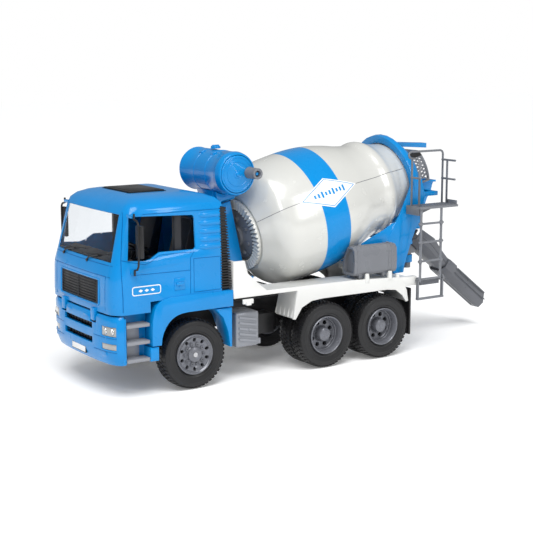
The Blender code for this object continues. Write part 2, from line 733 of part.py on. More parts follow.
def windscreen():
    """A pane in the windscreen opening, on the cab's own curve."""
    levels = [cab_level(z) for z in (140.0, 164.5, 189.0)]
    pane = combine(cab_shape(levels, inset=0.5), cut=[cab_shape(
        [(139.0, *levels[0][1:]), levels[1], (190.0, *levels[2][1:])], inset=1.9)])
    inner = [(y - math.copysign(GAP, y), z + (GAP if z < 160 else -GAP)) for y, z in SCREEN]
    return combine(pane, keep=[prism(inner, 0, 60.0, 100.0)])


def grille():
    half = GRILLE_W - GAP
    flat = CAB_W - 15.0
    front = [
        (93.2 + FRONT_BOW * (1 - (y / flat) ** 2), y)
        for y in (-half, -half * 0.5, 0.0, half * 0.5, half)
    ]
    rear = [(x - 3.0, y) for x, y in reversed(front)]
    return prism(front + rear, 2, GRILLE_LOW + GAP, GRILLE_TOP - GAP)


def cab_interior():
    floor = box((-29, 84), (-66, 66), (122, 125))
    dash = prism(((60.0, 123.0), (60.0, 138.0), (68.0, 143.0), (83.0, 137.5), (83.0, 123.0)), 1, -65.0, 65.0)
    console = box((0, 62), (-9, 9), (124, 131))
    seats = []
    for sign in (-1, 1):
        seats.append(box((-6, 24), (sign * 19, sign * 56), (124, 136)))
        seats.append(prism(
            ((-8.0, 124.0), (-17.0, 172.0), (-14.0, 176.0), (-9.5, 175.0), (1.5, 134.0), (1.5, 124.0)),
            1, sign * 21.0, sign * 54.0,
        ))
    pillars = [box((12.5, 20.5), (sign * 65, sign * 70.6), (123, 187)) for sign in (-1, 1)]
    return combine(floor, join=[dash, console, *seats, *pillars])


def steering_wheel():
    centre = Vector((46.0, 38.0, 149.0))
    axis = Vector((-0.5, 0.0, 0.866))
    place = Matrix.Translation(centre) @ axis.to_track_quat("Z", "Y").to_matrix().to_4x4()
    rim = turned(
        [(11.5 + 1.5 * math.cos(a), 1.5 * math.sin(a)) for a in [i * math.pi / 3 for i in range(6)]],
        place, segments=16,
    )
    spokes = []
    for degrees in (97.0, 217.0, 337.0):
        way = place.to_3x3() @ Vector((math.cos(math.radians(degrees)), math.sin(math.radians(degrees)), 0.0))
        spokes.append(rod(centre + way * 1.0, centre + way * 11.2, 1.1, segments=6))
    hub = rod(centre - axis * 2, centre + axis * 1.2, 3.2, segments=16)
    column = rod(centre - axis * 24, centre - axis * 1, 1.8, segments=12)
    return combine(rim, join=[*spokes, hub, column])


def roof_hatch():
    rear, front, half = HATCH
    return rounded(box((rear, front), (-half, half), (205.0 + GAP, 206.6)), 0.5, segments=1)


def intake(sign):
    """The ribbed air intake in a rear corner of the cab."""
    side = sign * CAB_W
    low, top = INTAKE_LOW, INTAKE_TOP - 0.4
    outline = [(INTAKE_X - GAP, low), (CAB_REAR + 0.5, low), (CAB_REAR + 6.0, top), (INTAKE_X - GAP, top)]
    body = prism(outline, 1, sign * (INTAKE_Y + GAP), side - sign * 3.0)
    ribs = []
    count = 13
    for i in range(count):
        z = low + 26.0 + i * 4.8
        lean = (z - low) / (top - low) * 5.5
        rib_x = (CAB_REAR + 0.2 + lean, INTAKE_X - GAP - 0.3)
        ribs.append(box(rib_x, (side - sign * 4.0, side - sign * 2.0), (z, z + 2.4)))
    return combine(body, join=ribs)


def mirror(sign):
    """A mirror on its bent arm. Its two ends turn in lugs on the cab."""
    x = 72.0
    route = (
        (x, sign * 81.0, 191.0), (x, sign * 81.0, 185.5), (x, sign * 86.5, 184.4), (x, sign * 89.0, 182.8),
        (x, sign * 90.0, 180.0), (x, sign * 90.0, 146.0), (x, sign * 89.0, 139.0), (x, sign * 86.5, 135.5),
        (x, sign * 81.0, 134.4), (x, sign * 81.0, 128.6),
    )
    arm = tube(route, 1.2)
    housing = rounded(box((67.0, 71.4), (sign * 81.6, sign * 93.0), (147.0, 180.0)), 1.2)
    return combine(housing, join=[arm])


# ---------------------------------------------------------------- bed and drum

def rear_bed():
    line = ((BED_FRONT, DECK_TOP), (DECK_KNEE_X, DECK_KNEE_Z), (BED_REAR + 6, REAR_DECK_TOP))
    edge = BED_HALF - 1.2
    deck = prism(line + tuple((x, z - DECK_T) for x, z in reversed(line)), 1, -edge, edge)
    bulkhead = box((BED_FRONT - 3, BED_FRONT), (-76, 76), (91.5, BULKHEAD_TOP))
    parts = [bulkhead]
    arch_low = AXLE_Z + 42.2
    front_lip, rear_lip = MIDDLE_X + 39.3, REAR_X - 25.4
    for sign in (-1, 1):
        outer, inner = sign * BED_HALF, sign * (BED_HALF - 2.4)
        parts.append(prism(
            ((BED_FRONT, 91.5), (BED_FRONT, BULKHEAD_TOP), (BED_FRONT - 14, BULKHEAD_TOP),
             (BED_FRONT - 18, 117.0), (BED_FRONT - 34, 102.5), (BED_FRONT - 44, 95.0), (BED_FRONT - 44, 93.0)),
            1, sign * (BED_HALF - 0.5), sign * (BED_HALF - 3.0),
        ))
        skirt = (
            (BED_FRONT, 91.5), (front_lip, 91.5), (MIDDLE_X + 44.8, 60.0), (MIDDLE_X + 41.8, 59.5),
            (MIDDLE_X + 33.3, 72.0), (MIDDLE_X + 20.3, 78.0), (MIDDLE_X + 5, arch_low), (REAR_X - 6, arch_low),
            (REAR_X - 19.4, 77.5), (REAR_X - 29.4, 70.0), (REAR_X - 34.9, 62.0), (REAR_X - 37.9, 63.0),
            (REAR_X - 35.4, 76.0), (REAR_X - 31.0, 85.0), (rear_lip, REAR_DECK_TOP + 1.1),
            (DECK_KNEE_X, DECK_KNEE_Z + 0.6), (BED_FRONT, DECK_TOP + 0.6),
        )
        parts.append(prism(skirt, 1, outer, inner))
        parts.append(prism(
            ((front_lip, 94.0), (MIDDLE_X + 44.4, 60.4), (MIDDLE_X + 41.9, 60.1), (front_lip - 3, 78.0),
             (front_lip - 3, 94.0)),
            1, sign * (BED_HALF - 0.8), sign * 36.0,
        ))
        parts.append(prism(
            ((rear_lip + 1, REAR_DECK_TOP - 1), (REAR_X - 30.5, 85.0), (REAR_X - 35.0, 76.0),
             (REAR_X - 37.5, 63.4), (REAR_X - 35.3, 62.8), (REAR_X - 32.4, 75.0), (REAR_X - 28.5, 83.0),
             (rear_lip + 2, REAR_DECK_TOP - 3)),
            1, sign * (BED_HALF - 0.8), sign * 36.0,
        ))
        parts.append(box((BED_REAR - 4.7, REAR_X - 28), (sign * 69.5, sign * 76.4), (80.0, REAR_DECK_TOP)))
    opening = box(BED_OPENING[:2], (-BED_OPENING[2], BED_OPENING[2]), (50, 101))
    return combine(deck, join=parts, cut=[opening])


def rear_mudflaps():
    x = REAR_X - 43.5
    flaps = [box((x, x + 2.4), (sign * 38, sign * 76), (22, 77)) for sign in (-1, 1)]
    bar = box((x, x + 2.4), (-40, 40), (64, 74))
    return combine(bar, join=flaps)


def shell_halves():
    """The drum's two half shells, split along a plane through its axis."""
    inside = [(r - DRUM_WALL - 0.3, s) for s, r in DRUM_PROFILE[2:-2:2]]
    inside.insert(0, (DRUM_PROFILE[0][1] - DRUM_WALL, DRUM_FRONT + DRUM_WALL))
    inside.append((DRUM_MOUTH_R - DRUM_WALL, DRUM_REAR))
    outside = [(r, s) for s, r in DRUM_PROFILE]
    profile = [(0.0, DRUM_FRONT), *outside, *reversed(inside), (0.0, DRUM_FRONT + DRUM_WALL)]
    halves = []
    for side in (1, -1):
        whole = turned(profile, DRUM, segments=36, closed=False)
        cutter = box((-100, 100), (side * GAP / 2, side * -100), (-90, 170))
        cutter.data.transform(Matrix.Rotation(SEAM_ANGLE, 4, "Z"))
        place = DRUM.copy()
        place.translation *= MM
        cutter.data.transform(place)
        halves.append(combine(whole, cut=[cutter]))
    return halves


def gear_ring():
    """The crown gear on the drum's front. A gap between two teeth is at the top, where the pinion runs."""
    back = DRUM_FRONT - GAP
    rings = []
    for i in range(RING_TEETH):
        for share, front in ((0.0, RING_ROOT), (0.36, RING_TIP), (0.64, RING_TIP)):
            angle = 2 * math.pi * (i + share) / RING_TEETH
            rings.append([
                in_drum(r * math.cos(angle), r * math.sin(angle), s)
                for r, s in ((RING_IN, back), (RING_OUT, back), (RING_OUT, front), (RING_IN, front))
            ])
    return loft(rings, closed=True)


def drum_hub():
    """The plate and stub shaft that carry the drum's front in the pedestal."""
    back = DRUM_FRONT - GAP
    front = SHAFT_S - 14.0
    profile = [
        (0.0, back), (HUB_R, back), (HUB_R, back - 3.5), (STUB_R + 8, back - 5.0), (STUB_R + 8, back - 8.5),
        (STUB_R, back - 8.5), (STUB_R, front), (0.0, front),
    ]
    plate = turned(profile, DRUM, segments=26, closed=False)
    bolts = []
    for i in range(8):
        angle = (i + 0.5) * math.pi / 4
        foot = (22.0 * math.cos(angle), 22.0 * math.sin(angle))
        bolts.append(rod(in_drum(*foot, back - 3), in_drum(*foot, back - 5.6), 2.2, segments=6))
    return combine(plate, join=bolts)


def mixing_blade():
    """One spiral blade inside the drum, a little off its wall."""
    def wall_r(s):
        for (s0, r0), (s1, r1) in zip(DRUM_PROFILE, DRUM_PROFILE[1:]):
            if s0 <= s <= s1:
                return r0 + (r1 - r0) * (s - s0) / (s1 - s0)
        return DRUM_MOUTH_R
    rings = []
    steps = 40
    for i in range(steps + 1):
        s = -36.0 + (DRUM_REAR - 14.0 + 36.0) * i / steps
        angle = 2 * math.pi * 1.6 * i / steps
        edge = min(wall_r(s - 1), wall_r(s + 1)) - DRUM_WALL - 2.2
        depth = 12.0
        rings.append([
            in_drum(r * math.cos(angle), r * math.sin(angle), s + shift)
            for r, shift in ((edge, -0.8), (edge, 0.8), (edge - depth, 0.8), (edge - depth, -0.8))
        ])
    return loft(rings)


def drum_pedestal():
    """The blue stand in front of the drum: bearing, gear case and the column up to the water tank."""
    front_wall = drum_box((-62, TANK_RHO - 8), (-14, 14), (SHAFT_S - 18, SHAFT_S - 11.2))
    cheeks = [
        drum_box((-40, 43), (sign * 11.6, sign * 14), (SHAFT_S - 12, SHAFT_S + 2.0)) for sign in (-1, 1)
    ]
    bearing = rod(in_drum(0, 0, SHAFT_S - 12), in_drum(0, 0, SHAFT_S + 2.5), 11.0, segments=28)
    column = drum_box((42.6, TANK_RHO - 8), (-9, 9), (SHAFT_S - 12, SHAFT_S + 11.5))
    saddle = drum_box((TANK_RHO - TANK_R - 6, TANK_RHO - 8), (-20, 20), (SHAFT_S - 17, SHAFT_S + 12))
    foot = box((TANK_X - 32.2, TANK_X + 5.8), (-26, 26), (DECK_TOP + GAP, DECK_TOP + 6))
    bore_start = in_drum(0, 0, SHAFT_S - 14.0 - GAP - 0.5)
    bore = rod(bore_start, in_drum(0, 0, SHAFT_S + 4), STUB_R + RUN, segments=28)
    shaft_bore = rod(
        in_drum(40, 0, SHAFT_S), in_drum(TANK_RHO, 0, SHAFT_S), SHAFT_R + RUN, segments=20
    )
    tank_room = rod((TANK_X, -30, TANK_Z), (TANK_X, 30, TANK_Z), TANK_R + GAP + 0.2, segments=32)
    below = box((TANK_X - 68, TANK_X + 52), (-40, 40), (60, DECK_TOP + GAP))
    return combine(
        front_wall, join=[*cheeks, bearing, column, saddle, foot], cut=[bore, shaft_bore, tank_room, below]
    )


def drive_shaft():
    """The shaft from the bevel gears in the tank down to the pinion on the drum's crown gear."""
    top = TANK_RHO - 9.5
    rodded = rod(in_drum(30.5, 0, SHAFT_S), in_drum(top, 0, SHAFT_S), SHAFT_R, segments=20)
    place = DRUM @ Matrix.Translation((0, 0, SHAFT_S)) @ Matrix.Rotation(math.pi / 2, 4, "Y")
    # local Z now points along +N from the drum's axis, and local -X along the drum's axis
    pinion = gear(PINION_TEETH, [(s, PINION_ROOT_R, PINION_TIP_R) for s in (31.6, 40.4)], 0.2, place)
    levels = [(TANK_RHO - along, root, tip) for along, root, tip in BEVEL]
    return combine(rodded, join=[pinion, gear(BEVEL_TEETH, levels, 0.25, place)])


def crank_wheel():
    """The tank's turning end cap with its shaft, bevel gear and the pin of the knob."""
    y0, y1 = TANK_HALF - 1.4, TANK_HALF + 2.2
    place = along_y(TANK_X, TANK_Z)
    profile = [
        (0.0, 8.0), (SHAFT_R, 8.0), (SHAFT_R, y0), (CRANK_R, y0), (CRANK_R, y1 - 0.8), (CRANK_R - 0.8, y1),
        (2.4, y1), (2.0, y1 + 1.2), (0.0, y1 + 1.2),
    ]
    wheel = turned(profile, place, segments=32, closed=False)
    pin = rod(
        (TANK_X - CRANK_ARM, y0 + 1, TANK_Z + 1), (TANK_X - CRANK_ARM, KNOB_END - 2, TANK_Z + 1), 1.8,
        segments=16,
    )
    half_pitch = Matrix.Rotation(math.pi / BEVEL_TEETH, 4, "Z")
    return combine(wheel, join=[pin, gear(BEVEL_TEETH, BEVEL, 0.25, place @ half_pitch)])


def crank_knob():
    y0 = TANK_HALF + 2.2 + GAP
    profile = [
        (1.8 + RUN, y0), (KNOB_R + 0.4, y0), (KNOB_R + 0.4, y0 + 1.5), (KNOB_R, y0 + 2.5), (KNOB_R, KNOB_END),
        (3.5, KNOB_END), (3.5, KNOB_END - 7), (1.8 + RUN, KNOB_END - 7),
    ]
    return turned(profile, along_y(TANK_X - CRANK_ARM, TANK_Z + 1), segments=20)


def water_tank():
    h = TANK_HALF
    room = CRANK_R + 0.5
    profile = [
        (0.0, -h), (TANK_R - 3.0, -h), (TANK_R - 0.4, -h + 2.4), (TANK_R + 0.5, -h + 5.0), (TANK_R, -h + 7.0),
        (TANK_R, h - 7.0), (TANK_R + 0.5, h - 5.0), (TANK_R - 0.4, h - 1.0), (TANK_R - 1.6, h + 1.6),
        (room, h + 1.6), (room, h - 3.0), (TANK_R - 2.0, h - 5.0), (TANK_R - 2.0, -h + 4.0),
        (TANK_R - 4.0, -h + 2.0), (0.0, -h + 2.0),
    ]
    tank = turned(profile, along_y(TANK_X, TANK_Z), segments=32, closed=False)
    neck = rod((TANK_X, 0, TANK_Z + TANK_R - 1.5), (TANK_X, 0, TANK_Z + TANK_R + 1.0), 6.5, segments=24)
    hole = rod(
        in_drum(TANK_RHO - 30, 0, SHAFT_S), in_drum(TANK_RHO - 12, 0, SHAFT_S), SHAFT_R + 1.0, segments=20
    )
    return combine(tank, join=[neck], cut=[hole])


def tank_cap():
    z = TANK_Z + TANK_R + 1.0 + GAP
    cap = rod((TANK_X, 0, z), (TANK_X, 0, z + 2.6), 5.6, 5.0, segments=24)
    return combine(cap, join=[box((TANK_X - 4, TANK_X + 4), (-1, 1), (z + 2, z + 3.8))])


# ---------------------------------------------------------------- rear end

def rear_support():
    """The blue frame that carries the drum's mouth: collar, side plates, cross base and chute arm."""
    collar = turned(
        [(DRUM_MOUTH_R + 2.2, COLLAR_FRONT), (COLLAR_R, COLLAR_FRONT), (COLLAR_R, COLLAR_MID),
         (COLLAR_SLEEVE_R, COLLAR_MID + 1.5), (COLLAR_SLEEVE_R - 4.0, COLLAR_REAR),
         (CAGE_R + 0.6, COLLAR_REAR),
         (DRUM_MOUTH_R + 1.2, COLLAR_MID + 2)],
        DRUM, segments=32,
    )
    top = in_drum(0, 0, COLLAR_FRONT + 3)
    x0, z0 = top.x, top.z
    plate = (
        (x0 + 2.5, z0 + 6), (x0 + 9.0, z0 - 11), (x0 + 20.5, z0 - 34), (x0 + 39.5, z0 - 62),
        (x0 + 31, z0 - 95), (x0 + 30.0, SUPPORT_LOW), (x0 + 15.5, SUPPORT_LOW), (x0 + 14.0, z0 - 95),
        (x0 + 3.5, z0 - 66), (x0 - 9.5, z0 - 38), (x0 - 15.5, z0 - 14), (x0 - 9.0, z0 + 6),
    )
    plates = [prism(plate, 1, sign * SUPPORT_Y[0], sign * SUPPORT_Y[1]) for sign in (-1, 1)]
    web = (
        (x0 + 26, z0 - 44), (x0 + 32.7, z0 - 45), (x0 + 43.2, z0 - 50.9), (x0 + 59.9, z0 - 57.8),
        (x0 + 78, z0 - 65.6), (x0 + 76, z0 - 67.6), (x0 + 42.9, z0 - 67.6), (x0 + 34, z0 - 71),
    )
    plates += [prism(web, 1, sign * (SUPPORT_Y[0] + 0.4), sign * (SUPPORT_Y[1] - 0.4)) for sign in (-1, 1)]
    ears = [
        box((x0 - 7, x0 + 0.5), (sign * (DRUM_MOUTH_R + 5.5), sign * SUPPORT_Y[1]), (z0 - 20, z0 + 4))
        for sign in (-1, 1)
    ]
    base = box((x0 + 16, x0 + 30), (-SUPPORT_Y[1] + 1, SUPPORT_Y[1] - 1), (SUPPORT_LOW, 97))
    tie = box((x0 + 2, x0 + 10), (-SUPPORT_Y[1] + 1, SUPPORT_Y[1] - 1), (124, 129))
    arm = box((SWIVEL_X + 4, x0 + 20), (-5, 5), (92, 97))
    knuckle = rod((SWIVEL_X, 0, 92), (SWIVEL_X, 0, 101), 7.0, segments=24)
    beam_root = in_drum(COLLAR_SLEEVE_R - 4, 0, COLLAR_MID + 4)
    beam_end = REAR_END_X - 31.0
    beam = prism(
        ((beam_root.x + 2, 241.0), (beam_root.x + 2, 236.0), (beam_end, 231.5), (beam_end, 237.3)),
        1, -5.0, 5.0,
    )
    slot = box((beam_end + 3.5, beam_end + 11.0), (-2.6, 2.6), (228, 240))
    swivel_bore = rod((SWIVEL_X, 0, 88), (SWIVEL_X, 0, 104), 3.0 + RUN, segments=24)
    return combine(
        collar, join=[*plates, *ears, base, tie, arm, knuckle, beam], cut=[slot, swivel_bore]
    )


def hopper_cage():
    """The guard round the drum's mouth: a band with round sides and a flat top, open below."""
    rings = []
    steps = 28
    for i in range(steps + 1):
        angle = math.radians(-100 + 200 * i / steps)
        outer = min(CAGE_R, CAGE_TOP / max(math.cos(angle), 0.1))
        inner = outer * (CAGE_R - CAGE_WALL) / CAGE_R
        rings.append([
            in_drum(r * math.cos(angle), r * math.sin(angle), s)
            for r, s in ((inner, CAGE_FRONT), (outer, CAGE_FRONT), (outer, CAGE_REAR), (inner, CAGE_REAR))
        ])
    return loft(rings)


def discharge_funnel():
    """The funnel behind the drum's mouth: open in front above its sill, and open below."""
    def section(z, front, rear, half, inset):
        return [
            (front - inset, -half + inset, z), (front - inset, half - inset, z),
            (rear + inset, half - inset, z), (rear + inset, -half + inset, z),
        ]
    sizes = []
    for z, back, depth, half in FUNNEL_LEVELS:
        sizes.append((z, REAR_END_X - back, REAR_END_X - back - depth, half))
    outer = loft([section(*size, 0.0) for size in sizes])
    inner = loft([
        section(z + (-1 if i == 0 else 1 if i == len(sizes) - 1 else 0), front, rear, half, FUNNEL_WALL)
        for i, (z, front, rear, half) in enumerate(sizes)
    ])
    mouth = box((REAR_END_X - 4, REAR_END_X + 8), (-50, 50), (147, FUNNEL_LEVELS[-1][0] + 4))
    plate_y = SUPPORT_Y[0] - 0.4
    brackets = []
    for sign in (-1, 1):
        end = REAR_END_X - 11
        brackets.append(box((end, end + 5), (sign * BRACKET_Y, sign * plate_y), BRACKET_Z))
        brackets.append(box((end, end + 27), (sign * (plate_y - 3.2), sign * plate_y), BRACKET_Z))
    return combine(combine(outer, cut=[inner, mouth]), join=brackets)


def side_tank():
    """The grey box on the left wing, with a flanged rear end and cradle feet."""
    outline = ((53.0, 98.6), (72.5, 98.6), (75.0, 102.0), (75.6, 114.0), (74.5, 127.0), (71.0, 131.0),
               (64.0, 131.6), (61.5, 130.0), (53.0, 113.0))
    front = MIDDLE_X - 40.2
    body = prism(outline, 0, front, front - 54.0)
    wider = [(y * 1.01 - 0.4, z + (1.0 if z > 110 else -0.4)) for y, z in outline]
    flange = prism(wider, 0, front - 53.0, front - 56.0)
    end = prism([(y * 0.98 + 1.2, z * 0.985 + 1.6) for y, z in outline], 0, front - 55.0, front - 61.0)
    feet = [
        box((front - x, front - x - 5), (56, 73), (DECK_KNEE_Z + GAP, 101)) for x in (8.0, 42.0)
    ]
    return combine(body, join=[flange, end, *feet])


def platform():
    x0, x1, y0, y1 = PLATFORM
    plate = box((x0, x1), (y0, y1), (PLATFORM_TOP - PLATFORM_T, PLATFORM_TOP))
    skirt = box((x1 - 2, x1), (y0, y1 - 4), (PLATFORM_TOP - 10, PLATFORM_TOP - 1))
    brace = prism(
        ((x1 - 1, PLATFORM_TOP - 1), (x1 - 1, PLATFORM_TOP - 10), (x1 - 18, PLATFORM_TOP - 12),
         (x0 + 2, PLATFORM_TOP - 1)),
        1, y0, y0 + 2.4,
    )
    toe = box((x0, x0 + 1.8), (y0 + 6, y1 - 2), (PLATFORM_TOP - 1, PLATFORM_TOP + 4.5))
    return combine(plate, join=[skirt, brace, toe])


def railing():
    x0, x1, y0, y1 = PLATFORM
    rear, front = x0 + 1.8 + GAP + TUBE_R, x1 - TUBE_R
    inner, foot = y0 + TUBE_R, PLATFORM_TOP + GAP
    loop = RAILING_TOP - 7
    near = y1 - 5.0
    main = tube((
        (rear, inner, foot), (rear, inner, RAILING_TOP - 4), (rear + 1.2, inner, RAILING_TOP - 1.2),
        (rear + 4, inner, RAILING_TOP), (front - 4, inner, RAILING_TOP), (front - 1, inner, RAILING_TOP - 1.2),
        (front, inner + 0.4, RAILING_TOP - 3.5), (front, inner + 2.0, loop + 0.6), (front, inner + 5.0, loop),
        (front, near - 4, loop), (front, near - 1, loop - 1.2), (front, near, loop - 4), (front, near, foot),
    ), TUBE_R)
    bars = [
        tube(((front, inner + 6.5, foot), (front, inner + 6.5, loop)), TUBE_R),
        tube(((front, inner + 5.0, 204.0), (front, near + 1.5, 204.0)), TUBE_R),
        tube(((rear, inner - 1.2, 222.0), (rear, y1 - 3, 222.0)), TUBE_R),
        tube(((rear, inner - 1.2, 200.0), (rear, y1 - 3, 200.0)), TUBE_R),
        tube(((rear, inner + 8, foot), (rear, inner + 8, 222.0)), TUBE_R),
    ]
    return combine(main, join=bars)


def ladder():
    rails = [
        tube(((x, LADDER_Y, RUNGS[-1] - 3), (x, LADDER_Y, PLATFORM_TOP - PLATFORM_T - GAP)), 1.6)
        for x in LADDER_X
    ]
    rungs = [
        rod((LADDER_X[0] + 1.0, LADDER_Y, z), (LADDER_X[1] - 1.0, LADDER_Y, z), 1.3, segments=10)
        for z in RUNGS[:-1]
    ]
    front, rear = LADDER_X
    low = RUNGS[-1]
    pin = rod((front + 5.0, LADDER_Y, low), (rear - 5.0, LADDER_Y, low), 1.3, segments=12)
    bracket = box((front - 1, rear + 1), (LADDER_Y - 3.2, LADDER_Y - 0.6), (low - 7, low + 0.6))
    arm = box((front - 4, front - 8), (LADDER_Y - 9.5, LADDER_Y - 2), (low - 6.5, low - 2))
    return combine(rails[0], join=[rails[1], *rungs, pin, bracket, arm])


def ladder_step():
    """The lowest step, which turns on the ladder's bottom rung."""
    z = RUNGS[-1]
    bars, bores = [], []
    for x, way in ((LADDER_X[0], 1), (LADDER_X[1], -1)):
        inner, outer = x + way * 2.2, x + way * 4.4
        bars.append(box((inner, outer), (LADDER_Y - 1.6, LADDER_Y + 1.6), (STEP_TREAD_Z - 1.6, z)))
        bars.append(rod((inner, LADDER_Y, z), (outer, LADDER_Y, z), 3.0, segments=16))
        bores.append(rod((inner - way, LADDER_Y, z), (outer + way, LADDER_Y, z), 1.3 + GAP, segments=16))
    tread = box(
        (LADDER_X[0] + 4.4, LADDER_X[1] - 4.4), (LADDER_Y - 1.8, LADDER_Y + 2.4),
        (STEP_TREAD_Z - 1.6, STEP_TREAD_Z + 0.4),
    )
    return combine(tread, join=bars, cut=bores)


CHUTE_D = Vector((-math.cos(CHUTE_SLOPE), 0.0, -math.sin(CHUTE_SLOPE)))
CHUTE_H = Vector((-math.sin(CHUTE_SLOPE), 0.0, math.cos(CHUTE_SLOPE)))
CHUTE_START = Vector((CHUTE_TOP_X, 0.0, CHUTE_TOP_Z))


def on_chute(along, height, side=0.0):
    return CHUTE_START + CHUTE_D * along + CHUTE_H * height + Vector((0.0, side, 0.0))


def trough(stations, wall):
    """An open channel. stations holds (distance, half width, rim height, lift, end slant)."""
    rings = []
    for along, half, rim, lift, slant in stations:
        low = 0.36 * rim
        outer = [(-half, rim), (-half, low), (-0.5 * half, 0.0), (0.5 * half, 0.0), (half, low), (half, rim)]
        inside = half - wall
        inner = [(inside, rim), (inside, 0.36 * rim + 0.4), (0.5 * inside, wall), (-0.5 * inside, wall),
                 (-inside, 0.36 * rim + 0.4), (-inside, rim)]
        rings.append([on_chute(along - slant * h, h + lift, y) for y, h in outer + inner])
    return loft(rings)


def chute_upper():
    joint = CHUTE_JOINT
    body = trough((
        (0.0, CHUTE_W + 3.0, 20.0, 0.0, 0.0), (24.0, CHUTE_W + 3.0, 22.5, 0.0, 0.0),
        (44.0, CHUTE_W + 1.0, 18.5, 0.0, 0.0), (58.0, CHUTE_W, CHUTE_DEPTH, 0.0, 0.0),
        (joint, CHUTE_W, CHUTE_DEPTH, 0.0, 0.0),
    ), CHUTE_WALL)
    corners = [on_chute(0.0, 1.0), on_chute(2.0, 1.0), on_chute(2.0, 19.0), on_chute(0.0, 19.0)]
    back = prism([(corner.x, corner.z) for corner in corners], 1, -0.5 * CHUTE_W - 2, 0.5 * CHUTE_W + 2)
    return combine(body, join=[back])


def chute_lower():
    """The lower channel: its upper end wraps round the end of the upper one."""
    half = CHUTE_W + CHUTE_WALL + 0.5
    return trough((
        (CHUTE_JOINT - 12, half, CHUTE_DEPTH + 2.4, -CHUTE_WALL - 0.7, 0.0),
        (CHUTE_JOINT + 3, half, CHUTE_DEPTH + 2.4, -CHUTE_WALL - 0.7, 0.0),
        (CHUTE_JOINT + 7, half - 1.6, CHUTE_DEPTH + 1.0, -CHUTE_WALL - 0.7, 0.0),
        (CHUTE_END, half - 1.6, CHUTE_DEPTH + 1.0, -CHUTE_WALL - 0.7, 0.58),
    ), CHUTE_WALL)


def chute_swivel():
    """The post that turns in the rear frame's knuckle and carries the chute."""
    post = rod((SWIVEL_X, 0, 86), (SWIVEL_X, 0, 106), 3.0, segments=24)
    head = rod((SWIVEL_X, 0, 85), (SWIVEL_X, 0, 92 - RUN), 5.0, segments=24)
    collar = rod((SWIVEL_X, 0, 101 + RUN), (SWIVEL_X, 0, 105), 6.0, segments=24)

    def under(x):
        return CHUTE_TOP_Z + (x - CHUTE_TOP_X) * math.tan(CHUTE_SLOPE) - 0.5
    near, middle, far = SWIVEL_X + 6.5, SWIVEL_X - 6.5, SWIVEL_X - 11.5
    cradle = prism(((near, 104.0), (middle, 103.0), (far, under(far)), (near, under(near))), 1, -6.0, 6.0)
    return combine(post, join=[head, collar, cradle])


# ---------------------------------------------------------------- assembly

root = empty("truck_origin", (0.0, 0.0, 0.0))
front_wheels = empty("front_wheels", (0.0, 0.0, AXLE_Z), root)
middle_wheels = empty("middle_wheels", (MIDDLE_X, 0.0, AXLE_Z), root)
rear_wheels = empty("rear_wheels", (REAR_X, 0.0, AXLE_Z), root)
cab = empty("cab", (TILT_X, 0.0, TILT_Z), root)
left_mirror = empty("left_mirror", (72.0, 81.0, 160.0), cab)
right_mirror = empty("right_mirror", (72.0, -81.0, 160.0), cab)
drum = empty("drum", DRUM_REF, root)
gear_shaft = empty("gear_shaft", in_drum(60.0, 0.0, SHAFT_S), root)
crank = empty("crank", (TANK_X, TANK_HALF, TANK_Z), root)
knob = empty("knob", (TANK_X - CRANK_ARM, KNOB_END, TANK_Z + 1), crank)
chute = empty("chute", (SWIVEL_X, 0.0, 97.0), root)
chute_end = empty("chute_end", on_chute(*CHUTE_PIVOT), chute)
step = empty("step", ((LADDER_X[0] + LADDER_X[1]) / 2, LADDER_Y, RUNGS[-1]), root)

wheel_set("front", 0.0, front_wheels, front_rim, FRONT_TRACK, False)
wheel_set("middle", MIDDLE_X, middle_wheels, rear_rim, REAR_TRACK, True)
wheel_set("rear", REAR_X, rear_wheels, rear_rim, REAR_TRACK, True)

piece("chassis_frame", chassis_frame(), BLACK, root)
piece("engine_block", engine_block(), GREY, root)
piece("front_bumper", front_bumper(), BLUE, root)
for side_name, side_sign, mirror_body in (("left", 1, left_mirror), ("right", -1, right_mirror)):
    piece(f"lamp_unit_{side_name}", lamp_unit(side_sign), LENS, root)
    piece(f"cab_steps_{side_name}", cab_steps(side_sign), GREY, root)
    piece(f"front_mudguard_{side_name}", front_mudguard(side_sign), BLUE, root)
    piece(f"side_box_{side_name}", side_box(side_sign), GREY, root)
    piece(f"intake_{side_name}", intake(side_sign), BLACK, cab)
    piece(f"mirror_{side_name}", mirror(side_sign), BLACK, mirror_body)

piece("cab_shell", cab_shell(), BLUE, cab)
piece("windscreen", windscreen(), GLASS, cab)
piece("grille", grille(), DARK, cab)
piece("cab_interior", cab_interior(), DARK, cab)
piece("steering_wheel", steering_wheel(), DARK, cab)
piece("roof_hatch", roof_hatch(), BLACK, cab)

piece("rear_bed", rear_bed(), WHITE, root)
piece("rear_mudflaps", rear_mudflaps(), BLACK, root)
piece("drum_pedestal", drum_pedestal(), BLUE, root)
piece("water_tank", water_tank(), BLUE, root)
piece("tank_cap", tank_cap(), BLUE, root)
piece("rear_support", rear_support(), BLUE, root)
piece("hopper_cage", hopper_cage(), GREY, root)
piece("discharge_funnel", discharge_funnel(), BLUE, root)
piece("side_tank", side_tank(), GREY, root)
piece("platform", platform(), GREY, root)
piece("railing", railing(), GREY, root)
piece("ladder", ladder(), GREY, root)
piece("ladder_step", ladder_step(), GREY, step)

